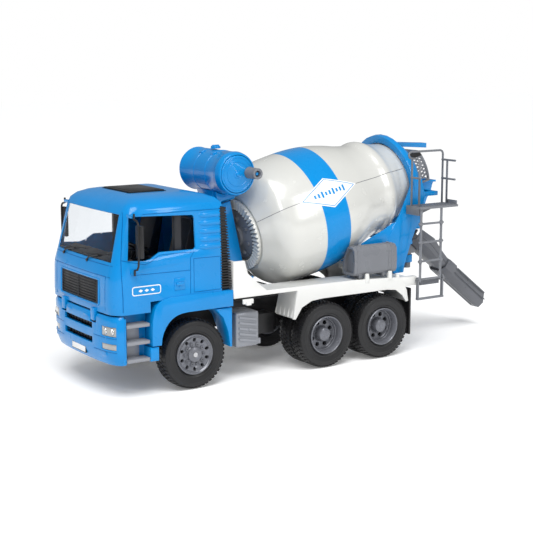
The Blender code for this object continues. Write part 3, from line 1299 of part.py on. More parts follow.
first_half, second_half = shell_halves()
piece("drum_shell_upper", first_half, PEARL, drum)
piece("drum_shell_lower", second_half, PEARL, drum)
piece("drum_gear_ring", gear_ring(), PEARL, drum)
piece("drum_hub", drum_hub(), GREY, drum)
piece("mixing_blade", mixing_blade(), GREY, drum)
piece("drive_shaft", drive_shaft(), GREY, gear_shaft)
piece("crank_wheel", crank_wheel(), BLUE, crank)
piece("crank_knob", crank_knob(), GREY, knob)
piece("chute_swivel", chute_swivel(), GREY, chute)
piece("chute_upper", chute_upper(), DARK, chute)
piece("chute_lower", chute_lower(), DARK, chute_end)

solids = [obj for obj in truck.objects if obj.type == "MESH"]
ends = [vert.co.x for obj in solids for vert in obj.data.vertices]
root.location.x = -(min(ends) + max(ends)) / 2
bpy.context.view_layer.update()
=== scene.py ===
"""The looks of the toy cement mixer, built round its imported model.

Lengths are in millimetres from the middle of the front axle's line: +X forward, +Y to the truck's left and
+Z up from the ground. A piece is moved into the model's own frame as it is made.
"""

import json
import math

import bmesh
import bpy
from mathutils import Matrix, Vector

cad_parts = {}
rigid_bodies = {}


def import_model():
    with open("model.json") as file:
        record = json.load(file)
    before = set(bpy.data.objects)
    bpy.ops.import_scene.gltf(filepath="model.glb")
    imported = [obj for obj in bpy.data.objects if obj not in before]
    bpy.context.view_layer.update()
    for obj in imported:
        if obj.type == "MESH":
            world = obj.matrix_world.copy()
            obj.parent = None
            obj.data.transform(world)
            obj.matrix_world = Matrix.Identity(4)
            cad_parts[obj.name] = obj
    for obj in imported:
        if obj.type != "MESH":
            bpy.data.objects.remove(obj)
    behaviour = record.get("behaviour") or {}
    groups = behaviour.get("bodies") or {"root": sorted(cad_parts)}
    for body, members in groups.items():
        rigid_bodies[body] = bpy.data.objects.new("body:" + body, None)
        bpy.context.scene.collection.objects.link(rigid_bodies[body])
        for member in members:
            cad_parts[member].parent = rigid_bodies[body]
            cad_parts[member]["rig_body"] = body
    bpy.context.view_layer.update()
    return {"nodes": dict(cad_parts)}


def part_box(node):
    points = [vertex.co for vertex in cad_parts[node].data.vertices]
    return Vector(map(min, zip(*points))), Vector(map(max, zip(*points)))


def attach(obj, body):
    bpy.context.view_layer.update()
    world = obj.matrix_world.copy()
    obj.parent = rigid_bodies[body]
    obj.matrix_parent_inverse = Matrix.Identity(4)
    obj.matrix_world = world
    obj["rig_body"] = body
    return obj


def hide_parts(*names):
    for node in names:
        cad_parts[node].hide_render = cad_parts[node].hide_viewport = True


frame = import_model()
NODES = frame["nodes"]

MM = 0.001
AXLE_LOW, AXLE_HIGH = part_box("front_axle")
AXLE_X = (AXLE_LOW.x + AXLE_HIGH.x) / 2

AXLE_Z = 37.0
WHEEL_X = {"front": 0.0, "middle": -167.3, "rear": -246.6}
FRONT_TRACK, REAR_TRACK = 75.0, 79.0
TREAD_R = 36.95

CAB_LEVELS = (
    (88.5, 93.8, 76.5, 15.0), (97.0, 94.3, 76.5, 15.0), (121.0, 93.6, 76.5, 15.0), (128.0, 92.8, 76.5, 15.0),
    (140.0, 89.2, 76.2, 15.0), (189.0, 76.6, 73.7, 14.0), (194.5, 74.0, 71.9, 13.0),
)
FRONT_BOW = 2.0
BUMPER = (
    (98.0, 0.0), (97.8, 20.0), (97.0, 40.0), (95.2, 57.0), (92.4, 67.0), (88.4, 73.0), (82.5, 76.3),
)

TILT = math.radians(13.1)
DRUM_U = Vector((-math.cos(TILT), 0.0, math.sin(TILT)))
DRUM_N = Vector((math.sin(TILT), 0.0, math.cos(TILT)))
DRUM_REF = Vector((-169.4, 0.0, 162.6))
DRUM = Matrix.Translation(DRUM_REF) @ Matrix((DRUM_N, (0.0, 1.0, 0.0), DRUM_U)).transposed().to_4x4()
DRUM_PROFILE = (
    (-67.5, 43.5), (-60.0, 51.4), (-52.5, 60.4), (-46.5, 66.0), (-40.0, 69.2), (-28.0, 71.0), (-8.0, 72.2),
    (12.0, 72.6), (30.0, 71.6), (46.0, 69.2), (64.0, 64.6), (82.0, 58.8), (98.0, 55.4), (108.0, 56.6),
    (114.0, 55.2), (122.0, 50.8), (134.0, 46.8), (146.0, 44.3),
)
DRUM_WALL = 2.2
BAND = (0.0, 34.3)
GEAR_TEETH = 48
GEAR_FACE = (-70.0, -70.75)
SEAM_ANGLE = math.radians(66.0)
LABEL_AT, LABEL_LENGTH, LABEL_HALF_ANGLE = 16.0, 41.0, math.radians(14.0)

TANK_X, TANK_Z, TANK_HALF = -71.8, 219.0, 43.0
CAGE_FRONT, CAGE_REAR, CAGE_R, CAGE_TOP = 161.0, 179.0, 41.0, 29.0
LADDER_Y = 80.0
LADDER_X = (-299.5, -330.0)
RUNGS = (151.4, 129.8, 107.6)
PLATFORM = (-354.0, -297.0, 55.6, 82.0, 171.0)

WORLD_FILL = 0.33
SUN_POWER, SUN_SPREAD = 2.35, math.radians(38.0)
FLOOR_SIZE, FLOOR_DROP, FLOOR_GLOW = 6.0, 0.0002, 0.13
CAMERA_AT = Vector((639.8, 1174.7, 354.8))
CAMERA_LENS = 84.63
AZIMUTH, DOWN = math.radians(56.47), math.radians(10.02)


# ---------------------------------------------------------------- materials

def plastic(
    name, colour, roughness, *, mottle=0.06, grain=0.05, grain_scale=2200.0, coat=0.0, metallic=0.0,
    smudge=0.10, specular=0.4,
):
    """Moulded plastic: a slight unevenness of colour and gloss, and a fine texture from the mould."""
    made = bpy.data.materials.new(name)
    made.use_nodes = True
    nodes, links = made.node_tree.nodes, made.node_tree.links
    shader = nodes["Principled BSDF"]
    place = nodes.new("ShaderNodeTexCoord")

    clouds = nodes.new("ShaderNodeTexNoise")
    clouds.inputs["Scale"].default_value = 28.0
    clouds.inputs["Detail"].default_value = 4.0
    links.new(place.outputs["Object"], clouds.inputs["Vector"])
    tones = nodes.new("ShaderNodeValToRGB")
    tones.color_ramp.elements[0].position = 0.3
    tones.color_ramp.elements[1].position = 0.7
    tones.color_ramp.elements[0].color = (*[value * (1 - mottle) for value in colour], 1.0)
    tones.color_ramp.elements[1].color = (*[min(value * (1 + mottle), 1.0) for value in colour], 1.0)
    links.new(clouds.outputs["Fac"], tones.inputs["Fac"])
    links.new(tones.outputs["Color"], shader.inputs["Base Color"])

    handled = nodes.new("ShaderNodeTexNoise")
    handled.inputs["Scale"].default_value = 75.0
    handled.inputs["Detail"].default_value = 6.0
    links.new(place.outputs["Object"], handled.inputs["Vector"])
    gloss = nodes.new("ShaderNodeMapRange")
    gloss.inputs["From Min"].default_value = 0.3
    gloss.inputs["From Max"].default_value = 0.75
    gloss.inputs["To Min"].default_value = max(roughness - smudge * 0.4, 0.03)
    gloss.inputs["To Max"].default_value = min(roughness + smudge, 1.0)
    links.new(handled.outputs["Fac"], gloss.inputs["Value"])
    links.new(gloss.outputs["Result"], shader.inputs["Roughness"])

    texture = nodes.new("ShaderNodeTexNoise")
    texture.inputs["Scale"].default_value = grain_scale
    texture.inputs["Detail"].default_value = 2.0
    links.new(place.outputs["Object"], texture.inputs["Vector"])
    bump = nodes.new("ShaderNodeBump")
    bump.inputs["Strength"].default_value = grain
    bump.inputs["Distance"].default_value = 0.0002
    links.new(texture.outputs["Fac"], bump.inputs["Height"])
    links.new(bump.outputs["Normal"], shader.inputs["Normal"])

    shader.inputs["Metallic"].default_value = metallic
    shader.inputs["Specular IOR Level"].default_value = specular
    shader.inputs["Coat Weight"].default_value = coat
    shader.inputs["Coat Roughness"].default_value = 0.08
    return made


def brushed(name, colour, roughness):
    """Drawn steel rod: fine lines along Y."""
    made = plastic(name, colour, roughness, mottle=0.08, grain=0.25, metallic=1.0)
    nodes, links = made.node_tree.nodes, made.node_tree.links
    stretch = nodes.new("ShaderNodeMapping")
    stretch.inputs["Scale"].default_value = (1.0, 0.03, 1.0)
    links.new(nodes["Texture Coordinate"].outputs["Object"], stretch.inputs["Vector"])
    fine = [node for node in nodes if node.type == "TEX_NOISE" and node.inputs["Scale"].default_value > 1000]
    links.new(stretch.outputs["Vector"], fine[0].inputs["Vector"])
    return made


def clear(name, colour, roughness):
    """A clear moulded pane with faint waves from the mould."""
    made = bpy.data.materials.new(name)
    made.use_nodes = True
    nodes, links = made.node_tree.nodes, made.node_tree.links
    shader = nodes["Principled BSDF"]
    shader.inputs["Base Color"].default_value = (*colour, 1.0)
    shader.inputs["Roughness"].default_value = roughness
    shader.inputs["Transmission Weight"].default_value = 1.0
    shader.inputs["IOR"].default_value = 1.3
    place = nodes.new("ShaderNodeTexCoord")
    waves = nodes.new("ShaderNodeTexNoise")
    waves.inputs["Scale"].default_value = 40.0
    links.new(place.outputs["Object"], waves.inputs["Vector"])
    bump = nodes.new("ShaderNodeBump")
    bump.inputs["Strength"].default_value = 0.03
    bump.inputs["Distance"].default_value = 0.0005
    links.new(waves.outputs["Fac"], bump.inputs["Height"])
    links.new(bump.outputs["Normal"], shader.inputs["Normal"])
    return made


BLUE = plastic("blue", (0.0, 0.225, 0.585), 0.3, coat=0.45, mottle=0.03, specular=0.16)
BLUE_DEEP = plastic("blue_line", (0.0, 0.11, 0.34), 0.45, specular=0.1)
BAND_BLUE = plastic("band_blue", (0.0, 0.235, 0.60), 0.26, coat=0.3, mottle=0.02, specular=0.15)
WHITE = plastic("bed_white", (0.70, 0.70, 0.68), 0.34, mottle=0.02)
PEARL = plastic("drum_pearl", (0.62, 0.62, 0.59), 0.2, coat=0.35, mottle=0.02, metallic=0.1)
GREY = plastic("grey", (0.165, 0.172, 0.19), 0.28, mottle=0.05, grain=0.1)
DARK = plastic("dark_grey", (0.115, 0.12, 0.135), 0.3, mottle=0.06, grain=0.1)
INTERIOR = plastic("interior", (0.014, 0.015, 0.019), 0.4, mottle=0.1, grain=0.2, grain_scale=1200.0)
BLACK = plastic("black", (0.010, 0.010, 0.011), 0.38, mottle=0.12, grain=0.12)
RUBBER = plastic(
    "rubber", (0.009, 0.009, 0.010), 0.38, mottle=0.2, grain=0.3, grain_scale=1500.0, smudge=0.14,
)
SILVER = plastic("silver", (0.25, 0.26, 0.285), 0.3, mottle=0.05, metallic=0.2)
RIM = plastic("rim", (0.15, 0.155, 0.175), 0.24, mottle=0.08, metallic=0.3)
STEEL = brushed("steel", (0.50, 0.50, 0.51), 0.28)
PAPER = plastic("sticker_white", (0.82, 0.82, 0.81), 0.35, mottle=0.01)
# Near-black used as painted shade in hollows, behind holes and between gear teeth.
SHADE_BLACK = plastic("painted_shade_black", (0.004, 0.004, 0.005), 0.8, mottle=0.3, specular=0.1)
CHROME = plastic("reflector", (0.72, 0.72, 0.72), 0.14, mottle=0.05, metallic=0.9)
LENS = plastic("lamp_lens", (0.36, 0.36, 0.345), 0.12, coat=1.0, mottle=0.12)
PANE = clear("pane", (0.90, 0.93, 0.96), 0.02)
MIRROR = plastic("mirror_face", (0.6, 0.61, 0.63), 0.05, metallic=1.0, mottle=0.02, smudge=0.03)


# ---------------------------------------------------------------- shapes

def add_loft(bm, rings, closed=False, material=0):
    """A skin through rings of equal numbers of points, capped at its ends unless it closes on itself."""
    loops = [[bm.verts.new(point) for point in ring] for ring in rings]
    pairs = list(zip(loops, loops[1:]))
    faces = []
    if closed:
        pairs.append((loops[-1], loops[0]))
    else:
        faces.append(bm.faces.new(list(reversed(loops[0]))))
        faces.append(bm.faces.new(loops[-1]))
    count = len(loops[0])
    for near, far in pairs:
        for i in range(count):
            j = (i + 1) % count
            faces.append(bm.faces.new((near[i], near[j], far[j], far[i])))
    for face in faces:
        face.material_index = material


def add_box(bm, x, y, z, material=0):
    (x0, x1), (y0, y1), (z0, z1) = sorted(x), sorted(y), sorted(z)
    add_loft(bm, [[(x0, y0, h), (x1, y0, h), (x1, y1, h), (x0, y1, h)] for h in (z0, z1)], material=material)


def add_slab(bm, outline, axis, low, high, material=0):
    """A flat outline, in the two axes left in X, Y, Z order, extruded along axis."""
    rings = []
    for value in (low, high):
        ring = []
        for first, second in outline:
            point = [first, second]
            point.insert(axis, value)
            ring.append(point)
        rings.append(ring)
    add_loft(bm, rings, material=material)


def add_rod(bm, start, end, radius, end_radius=None, sides=16, material=0):
    start, end = Vector(start), Vector(end)
    turn = (end - start).to_track_quat("Z", "Y").to_matrix()
    rings = []
    for point, size in ((start, radius), (end, radius if end_radius is None else end_radius)):
        angles = [2 * math.pi * i / sides for i in range(sides)]
        rings.append([point + turn @ Vector((size * math.cos(a), size * math.sin(a), 0.0)) for a in angles])
    add_loft(bm, rings, material=material)


def add_route(bm, points, radius, sides=8, material=0):
    """A round bar along points."""
    points = [Vector(point) for point in points]
    rings = []
    side = None
    for i, point in enumerate(points):
        ahead = (points[min(i + 1, len(points) - 1)] - points[max(i - 1, 0)]).normalized()
        if side is None:
            side = ahead.orthogonal().normalized()
        side = (side - ahead * side.dot(ahead)).normalized()
        across = ahead.cross(side)
        rings.append([
            point
            + (side * math.cos(2 * math.pi * k / sides) + across * math.sin(2 * math.pi * k / sides)) * radius
            for k in range(sides)
        ])
    add_loft(bm, rings, material=material)


def add_turned(bm, profile, place, segments=64, material=0):
    """A closed profile of (radius, distance) turned about the Z axis of place. A radius of 0 lies on it."""
    rings = []
    for i in range(segments):
        a = 2 * math.pi * i / segments
        rings.append([place @ Vector((r * math.cos(a), r * math.sin(a), d)) for r, d in profile])
    add_loft(bm, rings, closed=True, material=material)
    bmesh.ops.remove_doubles(bm, verts=bm.verts, dist=0.0001)


def along_y(x, z, y=0.0):
    return Matrix.Translation((x, y, z)) @ Matrix.Rotation(-math.pi / 2, 4, "X")


def smooth(values, steps):
    """A curve through (position, value) pairs, with steps between neighbours."""
    found = []
    for i in range(len(values) - 1):
        p0, p1 = values[max(i - 1, 0)], values[i]
        p2, p3 = values[i + 1], values[min(i + 2, len(values) - 1)]
        for k in range(steps):
            t = k / steps
            row = []
            for j in range(2):
                row.append(0.5 * (
                    2 * p1[j] + (p2[j] - p0[j]) * t + (2 * p0[j] - 5 * p1[j] + 4 * p2[j] - p3[j]) * t * t
                    + (3 * p1[j] - p0[j] - 3 * p2[j] + p3[j]) * t ** 3
                ))
            found.append(tuple(row))
    found.append(values[-1])
    return found


def shade(obj, materials, bevel, angle):
    """Rounds sharp edges, smooths what is left and gives the materials."""
    for one in materials:
        obj.data.materials.append(one)
    if bevel:
        step = obj.modifiers.new("round", "BEVEL")
        step.width = bevel * MM
        step.segments = 2
        step.limit_method = "ANGLE"
        step.angle_limit = math.radians(angle)
        step.use_clamp_overlap = True
        step.harden_normals = False
        bpy.context.view_layer.update()
        mesh = bpy.data.meshes.new_from_object(obj.evaluated_get(bpy.context.evaluated_depsgraph_get()))
        obj.modifiers.clear()
        obj.data = mesh
    obj.data.shade_smooth()
    obj.data.set_sharp_from_angle(angle=math.radians(angle + 5))


def piece(name, bm, materials, body, bevel=0.0, angle=32.0):
    """Turns a bmesh drawn in millimetres into a piece that rides on a body."""
    bmesh.ops.recalc_face_normals(bm, faces=bm.faces)
    bmesh.ops.transform(bm, matrix=Matrix.Diagonal((MM, MM, MM, 1.0)), verts=bm.verts)
    bmesh.ops.translate(bm, vec=(AXLE_X, 0.0, 0.0), verts=bm.verts)
    mesh = bpy.data.meshes.new(name)
    bm.to_mesh(mesh)
    bm.free()
    obj = bpy.data.objects.new(name, mesh)
    bpy.context.scene.collection.objects.link(obj)
    shade(obj, materials if isinstance(materials, (list, tuple)) else [materials], bevel, angle)
    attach(obj, body)
    return obj


def refined(node, material, bevel=0.4, angle=32.0):
    """A copy of a CAD node with rounded edges, which stands for it."""
    source = NODES[node]
    bm = bmesh.new()
    bm.from_mesh(source.data)
    bmesh.ops.remove_doubles(bm, verts=bm.verts, dist=0.000002)
    bmesh.ops.dissolve_limit(bm, angle_limit=math.radians(0.5), verts=bm.verts, edges=bm.edges)
    bmesh.ops.recalc_face_normals(bm, faces=bm.faces)
    mesh = bpy.data.meshes.new(node + "_shape")
    bm.to_mesh(mesh)
    bm.free()
    obj = bpy.data.objects.new(node + "_shape", mesh)
    bpy.context.scene.collection.objects.link(obj)
    shade(obj, [material], bevel, angle)
    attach(obj, source["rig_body"])
    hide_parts(node)
    return obj


def cut_out(obj, cutter):
    """Removes a bmesh drawn in millimetres from a piece."""
    bmesh.ops.recalc_face_normals(cutter, faces=cutter.faces)
    bmesh.ops.transform(cutter, matrix=Matrix.Diagonal((MM, MM, MM, 1.0)), verts=cutter.verts)
    bmesh.ops.translate(cutter, vec=(AXLE_X, 0.0, 0.0), verts=cutter.verts)
    mesh = bpy.data.meshes.new("cutter")
    cutter.to_mesh(mesh)
    cutter.free()
    other = bpy.data.objects.new("cutter", mesh)
    bpy.context.scene.collection.objects.link(other)
    step = obj.modifiers.new("cut", "BOOLEAN")
    step.operation = "DIFFERENCE"
    step.solver = "EXACT"
    step.object = other
    bpy.context.view_layer.update()
    obj.data = bpy.data.meshes.new_from_object(obj.evaluated_get(bpy.context.evaluated_depsgraph_get()))
    obj.modifiers.clear()
    bpy.data.objects.remove(other)
    obj.data.set_sharp_from_angle(angle=math.radians(35))


# ---------------------------------------------------------------- wheels

def add_tread(bm, place, middle, half, pitches=48):
    """Rows of lugs across one tyre: two shoulder rows and a staggered pair in the middle."""
    rows = (
        (0.50, 0.97, 0.30, 0.0, 1.1), (-0.97, -0.50, 0.30, 0.5, 1.1),
        (0.03, 0.44, 0.36, 0.5, 0.0), (-0.44, -0.03, 0.36, 0.0, 0.0),
    )
    for inner, outer, fill, phase, drop in rows:
        for i in range(pitches):
            ring_low, ring_high = [], []
            for y, share in ((inner, -fill), (inner, fill), (outer, fill), (outer, -fill)):
                lean = 0.28 * abs(y)
                a = 2 * math.pi * (i + phase + share + lean) / pitches
                edge = drop if abs(y) > 0.9 else 0.0
                for ring, r in ((ring_low, TREAD_R - 1.6), (ring_high, TREAD_R - edge)):
                    ring.append(place @ Vector((r * math.cos(a), r * math.sin(a), middle + y * half)))
            add_loft(bm, [ring_low, ring_high])


def tyre(name, x, sign, track, twin, body):
    """One tyre, or twin tyres moulded together, with sidewall beads and lugs."""
    half = 21.0 if twin else 11.0
    place = Matrix.Diagonal((1.0, sign, 1.0, 1.0)) @ along_y(x, AXLE_Z, track - half)
    single = 9.9 if twin else 11.0
    middles = (-half + single, half - single) if twin else (0.0,)
    bm = bmesh.new()
    for middle in middles:
        wall = [
            (21.9, single - 1.6), (23.4, single - 0.8), (24.2, single - 0.5), (25.0, single - 0.9),
            (27.5, single - 0.3), (30.5, single), (31.0, single - 0.35), (33.4, single - 0.3),
            (34.9, single - 0.9), (35.8, single - 2.2), (36.05, single - 5.0),
        ]
        profile = wall + [(r, -y) for r, y in reversed(wall)]
        add_turned(bm, [(r, y + middle) for r, y in profile], place, 72)
        add_tread(bm, place, middle, single)
    if twin:
        add_turned(bm, [(22.0, -2.6), (27.0, -2.6), (27.0, 2.6), (22.0, 2.6)], place, 48)
    made = piece(name + "_tread", bm, RUBBER, body, angle=28.0)
    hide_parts(name)


def front_rim(name, x, sign, body):
    place = Matrix.Diagonal((1.0, sign, 1.0, 1.0)) @ along_y(x, AXLE_Z, FRONT_TRACK - 11.0)
    profile = [
        (0.0, 2.8), (19.4, 2.8), (19.4, -9.2), (21.4, -9.2), (21.4, 10.6), (21.0, 11.1), (20.2, 11.1),
        (19.6, 10.4),
        (18.9, 9.4), (18.2, 9.1), (17.6, 9.5), (14.6, 9.3), (13.6, 8.6), (8.9, 8.3), (8.2, 8.9), (7.8, 11.0),
        (7.0, 11.6), (3.6, 11.9), (3.0, 11.4), (0.0, 11.4),
    ]
    bm = bmesh.new()
    add_turned(bm, profile, place, 72)
    made = piece(name + "_dish", bm, RIM, body, angle=24.0)
    cutter = bmesh.new()
    for i in range(10):
        a = 2 * math.pi * (i + 0.5) / 10
        way, across = Vector((math.cos(a), math.sin(a), 0.0)), Vector((-math.sin(a), math.cos(a), 0.0))
        rings = []
        for depth in (1.0, 13.0):
            ring = []
            for k in range(16):
                turn = k * math.pi / 8
                slot = way * (15.7 + 2.2 * math.sin(turn)) + across * 1.9 * math.cos(turn)
                ring.append(place @ (slot + Vector((0.0, 0.0, depth))))
            rings.append(ring)
        add_loft(cutter, rings)
    cut_out(made, cutter)
    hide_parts(name)
    nuts = bmesh.new()
    for i in range(10):
        a = 2 * math.pi * i / 10
        foot = Vector((10.9 * math.cos(a), 10.9 * math.sin(a), 8.2))
        up = Vector((0.0, 0.0, 1.0))
        add_rod(nuts, place @ foot, place @ (foot + up * 0.9), 1.75, 1.65, sides=16)
        hub = place @ Matrix.Translation(foot + up * 0.85)
        add_turned(nuts, [(0.75, 0.0), (1.5, 0.0), (1.5, 0.9), (1.25, 1.1), (0.75, 1.1)], hub, 16)
    piece(name + "_nuts", nuts, RIM, body, angle=30.0)
    # A near-black disc behind the slots: painted shade seen through them.
    back = bmesh.new()
    add_turned(back, [(10.0, 1.6), (19.2, 1.6), (19.2, 2.4), (10.0, 2.4)], place, 32)
    piece(name + "_back", back, SHADE_BLACK, body)


def rear_rim(name, x, sign, body):
    place = Matrix.Diagonal((1.0, sign, 1.0, 1.0)) @ along_y(x, AXLE_Z, REAR_TRACK - 21.0)
    profile = [
        (0.0, 5.5), (19.2, 5.5), (19.2, -19.0), (21.4, -19.0), (21.4, 20.6), (21.0, 21.1), (20.3, 21.1),
        (19.7, 20.3), (19.3, 18.6), (18.5, 17.4), (18.1, 15.4), (18.1, 12.6), (17.5, 12.1), (17.3, 9.8),
        (16.4, 8.9), (9.4, 8.7), (8.6, 9.4), (7.9, 15.2), (7.3, 16.8), (6.2, 17.5), (2.6, 17.7), (2.2, 17.4),
        (0.0, 17.5),
    ]
    bm = bmesh.new()
    add_turned(bm, profile, place, 72)
    made = piece(name + "_dish", bm, RIM, body, angle=24.0)
    cutter = bmesh.new()
    for i in range(8):
        a = 2 * math.pi * (i + 0.5) / 8
        foot = Vector((12.9 * math.cos(a), 12.9 * math.sin(a), 0.0))
        start, end = foot + Vector((0, 0, 4.0)), foot + Vector((0, 0, 12.0))
        add_rod(cutter, place @ start, place @ end, 2.6, sides=20)
    cut_out(made, cutter)
    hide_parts(name)
    lips = bmesh.new()
    for i in range(8):
        a = 2 * math.pi * (i + 0.5) / 8
        foot = Matrix.Translation((12.9 * math.cos(a), 12.9 * math.sin(a), 8.6))
        add_turned(lips, [(2.6, 0.0), (3.1, 0.0), (3.1, 0.5), (2.6, 0.5)], place @ foot, 20)
    piece(name + "_lips", lips, RIM, body)
    # A near-black disc behind the holes: painted shade seen through them.
    back = bmesh.new()
    add_turned(back, [(9.0, 3.6), (18.8, 3.6), (18.8, 4.4), (9.0, 4.4)], place, 32)
    piece(name + "_back", back, SHADE_BLACK, body)


for prefix, x in WHEEL_X.items():
    twin = prefix != "front"
    for side, sign in (("left", 1), ("right", -1)):
        tyre(f"{prefix}_tyre_{side}", x, sign, REAR_TRACK if twin else FRONT_TRACK, twin, prefix + "_wheels")
        (rear_rim if twin else front_rim)(f"{prefix}_rim_{side}", x, sign, prefix + "_wheels")
    NODES[prefix + "_axle"].material_slots[0].material = STEEL


# ---------------------------------------------------------------- cab

def cab_at(z):
    for low, high in zip(CAB_LEVELS, CAB_LEVELS[1:]):
        if low[0] <= z <= high[0]:
            share = (z - low[0]) / (high[0] - low[0])
            return [a + (b - a) * share for a, b in zip(low, high)]
    return list(CAB_LEVELS[0] if z < CAB_LEVELS[0][0] else CAB_LEVELS[-1])


def on_side(x, z, out=0.0, sign=1):
    """A point on the cab's side, from its rear to the front corner's rounding."""
    _, front, half, corner = cab_at(z)
    beyond = max(x - (front - corner), 0.0)
    y = half - corner + math.sqrt(max(corner ** 2 - beyond ** 2, 0.0))
    return (x, sign * (y + out), z)


def on_front(y, z, out=0.0):
    """A point on the cab's bowed front."""
    _, front, half, corner = cab_at(z)
    flat = half - corner
    if abs(y) <= flat:
        return (front + FRONT_BOW * (1 - (y / flat) ** 2) + out, y, z)
    beyond = abs(y) - flat
    return (front - corner + math.sqrt(max(corner ** 2 - beyond ** 2, 0.0)) + out, y, z)


def stepped(points, steps=6):
    """Points along a polyline, closer together, so that a line can follow a curved surface."""
    found = []
    for start, end in zip(points, points[1:]):
        for k in range(steps):
            found.append(tuple(a + (b - a) * k / steps for a, b in zip(start, end)))
    return found + [points[-1]]


def cab_details():
    refined("cab_shell", BLUE, bevel=0.45)
    refined("grille", BLACK, bevel=0.3)
    refined("cab_interior", INTERIOR, bevel=1.2)
    refined("steering_wheel", BLACK, bevel=0.0, angle=40.0)
    refined("roof_hatch", BLACK, bevel=0.3)
    NODES["windscreen"].material_slots[0].material = PANE

    lines = bmesh.new()
    for sign in (1, -1):
        for route in (
            ((75.5, 190.5), (79.5, 168.0), (83.0, 143.5), (84.0, 128.5), (83.2, 106.0), (83.2, 91.5)),
            ((84.0, 128.5), (5.6, 127.5)),
            ((0.5, 147.0), (5.4, 140.0), (5.8, 103.0)),
            ((1.5, 139.0), (-30.5, 138.6), (-31.0, 104.0), (1.5, 104.0), (1.5, 139.0)),
            ((83.2, 144.0), (58.0, 138.0), (51.5, 140.0), (42.0, 146.0), (33.0, 146.4), (3.0, 146.0)),
            ((76.8, 188.6), (-35.0, 188.0)),
        ):
            add_route(lines, [on_side(x, z, -0.05, sign) for x, z in stepped(route)], 0.32, sides=6)
    for z in (126.5, 137.5):
        route = stepped(((-66.0, z), (66.0, z)), 16)
        add_route(lines, [on_front(y, z, -0.05) for y, z in route], 0.32, sides=6)
    for sign in (1, -1):
        route = [on_front(sign * 58.0, z, -0.05) for z in (92.0, 104.0, 116.0, 126.0)]
        add_route(lines, route, 0.32, sides=6)
    piece("cab_lines", lines, BLUE_DEEP, "cab", angle=50.0)

    ribs = bmesh.new()
    swell = (
        (-4.5, 0.15), (-6.5, 0.6), (-9.5, 0.9), (-14.0, 1.0), (-29.4, 1.0), (-30.9, 0.8), (-31.6, 0.3),
    )
    for sign in (1, -1):
        for z in (183.0, 174.6, 166.2, 158.0, 150.2):
            rings = []
            for x, size in swell:
                middle = Vector(on_side(x, z, -0.5, sign))
                ring = []
                for k in range(12):
                    a = 2 * math.pi * k / 12
                    ring.append(middle + Vector((0.0, 1.7 * size * math.cos(a), 3.3 * size * math.sin(a))))
                rings.append(ring)
            add_loft(ribs, rings)
    piece("cab_ribs", ribs, BLUE, "cab", angle=60.0)

    handles = bmesh.new()
    for sign in (1, -1):
        y = 76.5
        outer = ((12.5, 108.5), (24.8, 108.5), (24.8, 120.6), (12.5, 120.6))
        add_slab(handles, outer, 1, sign * (y - 0.5), sign * (y + 0.7))
        grip = ((14.2, 113.4), (23.2, 113.4), (23.2, 116.4), (14.2, 116.4))
        add_slab(handles, grip, 1, sign * y, sign * (y + 2.2))
        add_rod(handles, (18.6, sign * y, 110.9), (18.6, sign * (y + 1.3), 110.9), 1.2)
    piece("door_handles", handles, BLUE, "cab", bevel=0.35)

    stickers = bmesh.new()
    sticker = ((70.6, 114.0, 0), (43.0, 114.0, 90), (43.0, 109.8, 180), (70.6, 109.8, 270))
    for sign in (1, -1):
        for grow, out, index in ((0.0, 0.18, 0), (-1.0, 0.3, 1)):
            corners = []
            for cx, cz, start in sticker:
                for k in range(5):
                    a = math.radians(start + k * 22.5)
                    corners.append((cx + (2.6 + grow) * math.cos(a), cz + (2.6 + grow) * math.sin(a)))
            add_slab(stickers, corners, 1, sign * 76.4, sign * (76.5 + out), material=index)
        for x in (50.0, 56.8, 63.6):
            marks = ((x - 2.6, 111.9), (x, 113.4), (x + 2.6, 111.9), (x, 110.4))
            add_slab(stickers, marks, 1, sign * 76.4, sign * 76.92, material=0)
    piece("door_stickers", stickers, [PAPER, BAND_BLUE], "cab")

    trim = bmesh.new()
    for z0 in range(8):
        z = 98.6 + z0 * 2.9
        add_route(trim, [on_front(y, z, -0.35) for y in range(-41, 42, 6)], 0.62, sides=6)
    for y in (-41.6, 0.0, 41.6):
        add_route(trim, [on_front(y, z, -0.35) for z in (97.4, 108.0, 120.2)], 0.7, sides=6)
    piece("grille_bars", trim, INTERIOR, "cab", angle=50.0)

    surround = bmesh.new()
    corner = 2.5
    border = []
    for cy, cz, start in ((42.6, 119.9, 0), (-42.6, 119.9, 90), (-42.6, 97.5, 180), (42.6, 97.5, 270)):
        for k in range(4):
            a = math.radians(start + k * 30)
            border.append((cy + corner * math.cos(a), cz + corner * math.sin(a)))
    border.append(border[0])
    add_route(surround, [on_front(y, z, -0.1) for y, z in stepped(border, 5)], 0.85, sides=8)
    piece("grille_surround", surround, BLUE, "cab", angle=50.0)

    wipers = bmesh.new()
    for pivot, tip in ((-44.0, 2.0), (14.0, 52.0)):
        foot = Vector(on_front(pivot, 137.6, 0.8))
        elbow = Vector(on_front(pivot + 4.0, 141.5, 1.5))
        head = Vector(on_front((pivot + tip) / 2 + 4.0, 145.6, 1.3))
        add_rod(wipers, Vector(on_front(pivot, 137.6, -0.6)), foot + Vector((0.6, 0.0, 0.0)), 1.9, 1.5)
        add_route(wipers, [foot, elbow, head], 0.75, sides=8)
        sweep = (tip - pivot + 16.0) / 8
        blade = [on_front(pivot - 12.0 + sweep * k, 143.0 + 0.65 * k, 0.65) for k in range(9)]
        add_route(wipers, blade, 0.65, sides=6)
    piece("wipers", wipers, BLACK, "cab", angle=50.0)

    roof = bmesh.new()
    edge = stepped(((8, -31), (51, -31), (51, 31), (8, 31), (8, -31)), 3)
    add_route(roof, [(x, y, 205.05) for x, y in edge], 0.5, sides=6)
    add_box(roof, (13.0, 46.0), (-26.0, 26.0), (206.4, 206.95))
    piece("hatch_frame", roof, BLACK, "cab", bevel=0.15)

